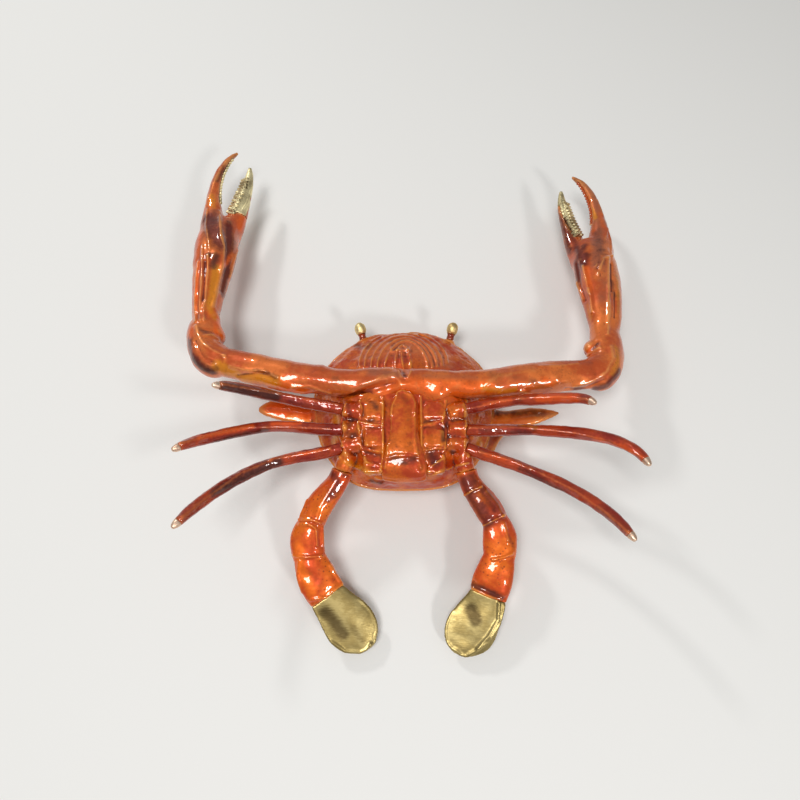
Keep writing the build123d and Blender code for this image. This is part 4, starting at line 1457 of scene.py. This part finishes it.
RIGHT_LEGS = WalkingLegs(
    side=Side.RIGHT,
    joints=((520, 399.5), (533.5, 430), (529.5, 470)),
    ridges=(
        ((472, 408), (500, 401), (530, 397.5), (560, 397), (586, 399)),
        ((470, 428), (505, 427), (540, 429), (575, 433), (610, 441), (640, 456)),
        ((480, 452), (510, 460), (540, 473), (575, 491), (605, 512), (628, 532)),
    ),
    brushes={
        1: (
            Brush(Wash.FLAME, ((540, 398), (560, 397), (575, 398)), 3.4, 1.0),
            Brush(Wash.UMBER, ((580, 397), (588, 400)), 2.0, 0.5),
            Brush(Wash.FLAME, ((485, 404), (510, 400)), 2.0, 0.7),
        ),
        2: (
            Brush(Wash.UMBER, ((480, 430), (505, 431), (530, 433)), 2.0, 0.6),
            Brush(Wash.FLAME, ((596, 440), (620, 447), (640, 456)), 2.6, 0.7),
            Brush(Wash.GOLD, ((520, 425), (536, 427)), 1.6, 0.6),
        ),
        3: (
            Brush(Wash.UMBER, ((520, 468), (545, 482), (565, 492)), 2.4, 0.6),
            Brush(Wash.MAROON, ((600, 510), (616, 523), (630, 534)), 3.0, 0.9),
            Brush(Wash.FLAME, ((486, 455), (504, 459)), 2.0, 0.7),
        ),
    },
)

LEFT_SWIMMER = SwimmingLeg(
    side=Side.LEFT,
    thumbs=(
        Thumb(((297, 521), (311, 521), (326, 526)), 3.4, 30),
        Thumb(((291, 554), (306, 556), (323, 557)), 3.4, 30),
    ),
    strokes=(
        Stroke(((298, 519), (311, 519.5), (326, 524.5)), 0.8, 0.9),
        Stroke(((307, 500), (300, 516)), 0.9, 0.6),
        Stroke(((334, 480), (328, 494), (320, 507), (318, 518)), 2.6, 0.8),
        Stroke(((299, 524), (311, 525), (316, 529), (317, 545)), 0.8, 0.8),
        Stroke(((323, 528), (323, 545)), 0.9, 0.6),
        Stroke(((292, 556), (306, 557), (322, 556)), 0.8, 0.7),
        Stroke(((330, 565), (342, 584)), 1.0, 0.7),
        Stroke(((310, 600), (327, 597), (345, 586)), 1.0, 0.6),
        Stroke(((299, 561), (297, 575), (302, 592)), 1.0, 0.5),
        Stroke(((302, 572), (316, 580)), 3.0, -0.4),
    ),
    brushes=(
        Brush(Wash.WINE, ((332, 473), (338, 486), (328, 500)), 3.4, 0.8),
        Brush(Wash.UMBER, ((339, 470), (346, 476)), 2.2, 0.7),
        Brush(Wash.GOLD, ((336, 464), (348, 466), (356, 472)), 2.6, 0.8),
        Brush(Wash.WINE, ((305, 572), (318, 582)), 4.6, 0.42),
        Brush(Wash.FLAME, ((298, 545), (300, 568), (312, 592)), 4.0, 0.9),
    ),
    paddle_strokes=(
        Stroke(((309, 608), (315, 621), (330, 641), (345, 651.5), (360, 652.5), (372, 647)), 1.0, 0.6),
        Stroke(((372, 647), (379.6, 632), (378, 620), (371, 609), (358, 597)), 1.0, 0.5),
        Stroke(((327, 618), (345, 634)), 6.0, -0.7),
    ),
    paddle_brushes=(
        Brush(Wash.UMBER, ((325, 612), (331, 618), (343, 634)), 5.0, 0.8),
        Brush(Wash.UMBER, ((353, 628), (362, 640)), 4.0, 0.5),
    ),
)

RIGHT_SWIMMER = SwimmingLeg(
    side=Side.RIGHT,
    thumbs=(
        Thumb(((484, 527), (496, 521), (507, 516)), 3.4, 30),
        Thumb(((489, 559), (502, 557), (514, 553)), 3.4, 30),
    ),
    strokes=(
        Stroke(((465, 495), (474, 489.5), (481, 487)), 0.8, 0.8),
        Stroke(((486, 492), (497, 505), (502, 516)), 1.4, 0.8),
        Stroke(((484, 525), (496, 519), (504, 515)), 0.9, 0.9),
        Stroke(((504, 524), (508, 540)), 1.3, 0.8),
        Stroke(((493, 560), (504, 557), (512, 553.5)), 0.8, 0.8),
        Stroke(((471, 583), (486, 590), (503, 600)), 2.0, -0.7),
        Stroke(((470, 590), (486, 597), (503, 604)), 1.0, 0.8),
    ),
    brushes=(
        Brush(Wash.WINE, ((466, 482), (475, 500), (488, 521)), 6.5, 0.85),
        Brush(Wash.WINE, ((472, 478), (486, 494), (500, 514)), 6.5, 0.72),
        Brush(Wash.UMBER, ((473, 585), (488, 591), (502, 598)), 2.6, 0.8),
        Brush(Wash.FLAME, ((494, 530), (500, 548), (492, 574)), 4.6, 0.4),
        Brush(Wash.WINE, ((508, 535), (514, 548)), 2.2, 0.5),
    ),
    paddle_strokes=(
        Stroke(((499, 603), (498, 620), (489, 636), (478, 648)), 1.0, 0.8),
        Stroke(
            (
                (504, 606), (501, 622), (488, 643), (466, 656.5), (450, 652), (440, 643), (439.5, 630),
                (452, 611),
            ),
            1.0, 0.6,
        ),
        Stroke(((468, 612), (463, 636)), 6.5, -0.7),
    ),
    paddle_brushes=(
        Brush(Wash.UMBER, ((471, 610), (476, 620)), 5.0, 0.9),
        Brush(Wash.UMBER, ((452, 640), (462, 650)), 4.0, 0.45),
    ),
)


def finishes() -> dict[str, bpy.types.Material]:
    """Make every finish.

    Returns:
        The materials by the record's slot names.
    """
    made = (
        Patina("shell_patina", main="c25618", second="d86e20", crest="e08e44", hollow="5c1c0a"),
        Patina(
            "belly_patina", main="b43806", second="d0600a", crest="de8a2e", hollow="440c04", drift=12.0,
            maroon="ce6834", sparkle=0.6,
        ),
        Patina("stalk_patina", main="7a2408", second="9a3a0e", crest="c06a30", hollow="3a1006", drift=6.0),
        Patina(
            "arm_patina", main="bc4c18", second="da702c", crest="e49450", hollow="52140a", umber="4c2014",
            gold="d4800a", flame="e25c06", maroon="a4583a", drift=20.0, sparkle=0.7,
        ),
        Patina("leg_patina", main="8a1e0a", second="b03c12", crest="d07038", hollow="320804", drift=15.0),
        Patina(
            "swimming_leg_patina", main="ca4402", second="e06602", crest="ea9032", hollow="6a1404",
            speckle=0.7, flame="ee6c00",
        ),
        Brass(
            "bare_brass_teeth", bright="fbeebe", dull="6b5228", roughness=0.42, tarnish=0.9,
            stain="3a2a18",
        ),
        Brass("polished_brass_eyes", bright="efdca4", dull="bd9450", roughness=0.38),
        Brass(
            "brushed_brass_paddles", bright="b4a06a", dull="85703f", roughness=0.28, streak=14.0,
            tarnish=0.4,
        ),
        Brass("bare_bronze_leg_tips", bright="f0d4bc", dull="caa084", roughness=0.34),
    )
    return {finish.name: finish.build() for finish in made}


def main() -> None:
    """Build the scene: camera, studio, then the crab from the body outwards."""
    logging.basicConfig(level=logging.INFO, format="%(message)s")
    view = View()
    view.set_camera()
    Studio().build()
    made = finishes()
    assemblies = (
        Body(), Eyes(), Arms(LEFT_ARM, RIGHT_ARM), LEFT_LEGS, RIGHT_LEGS, LEFT_SWIMMER, RIGHT_SWIMMER,
    )
    for assembly in assemblies:
        assembly.build(view, made)
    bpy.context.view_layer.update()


if __name__ == "__main__":
    main()
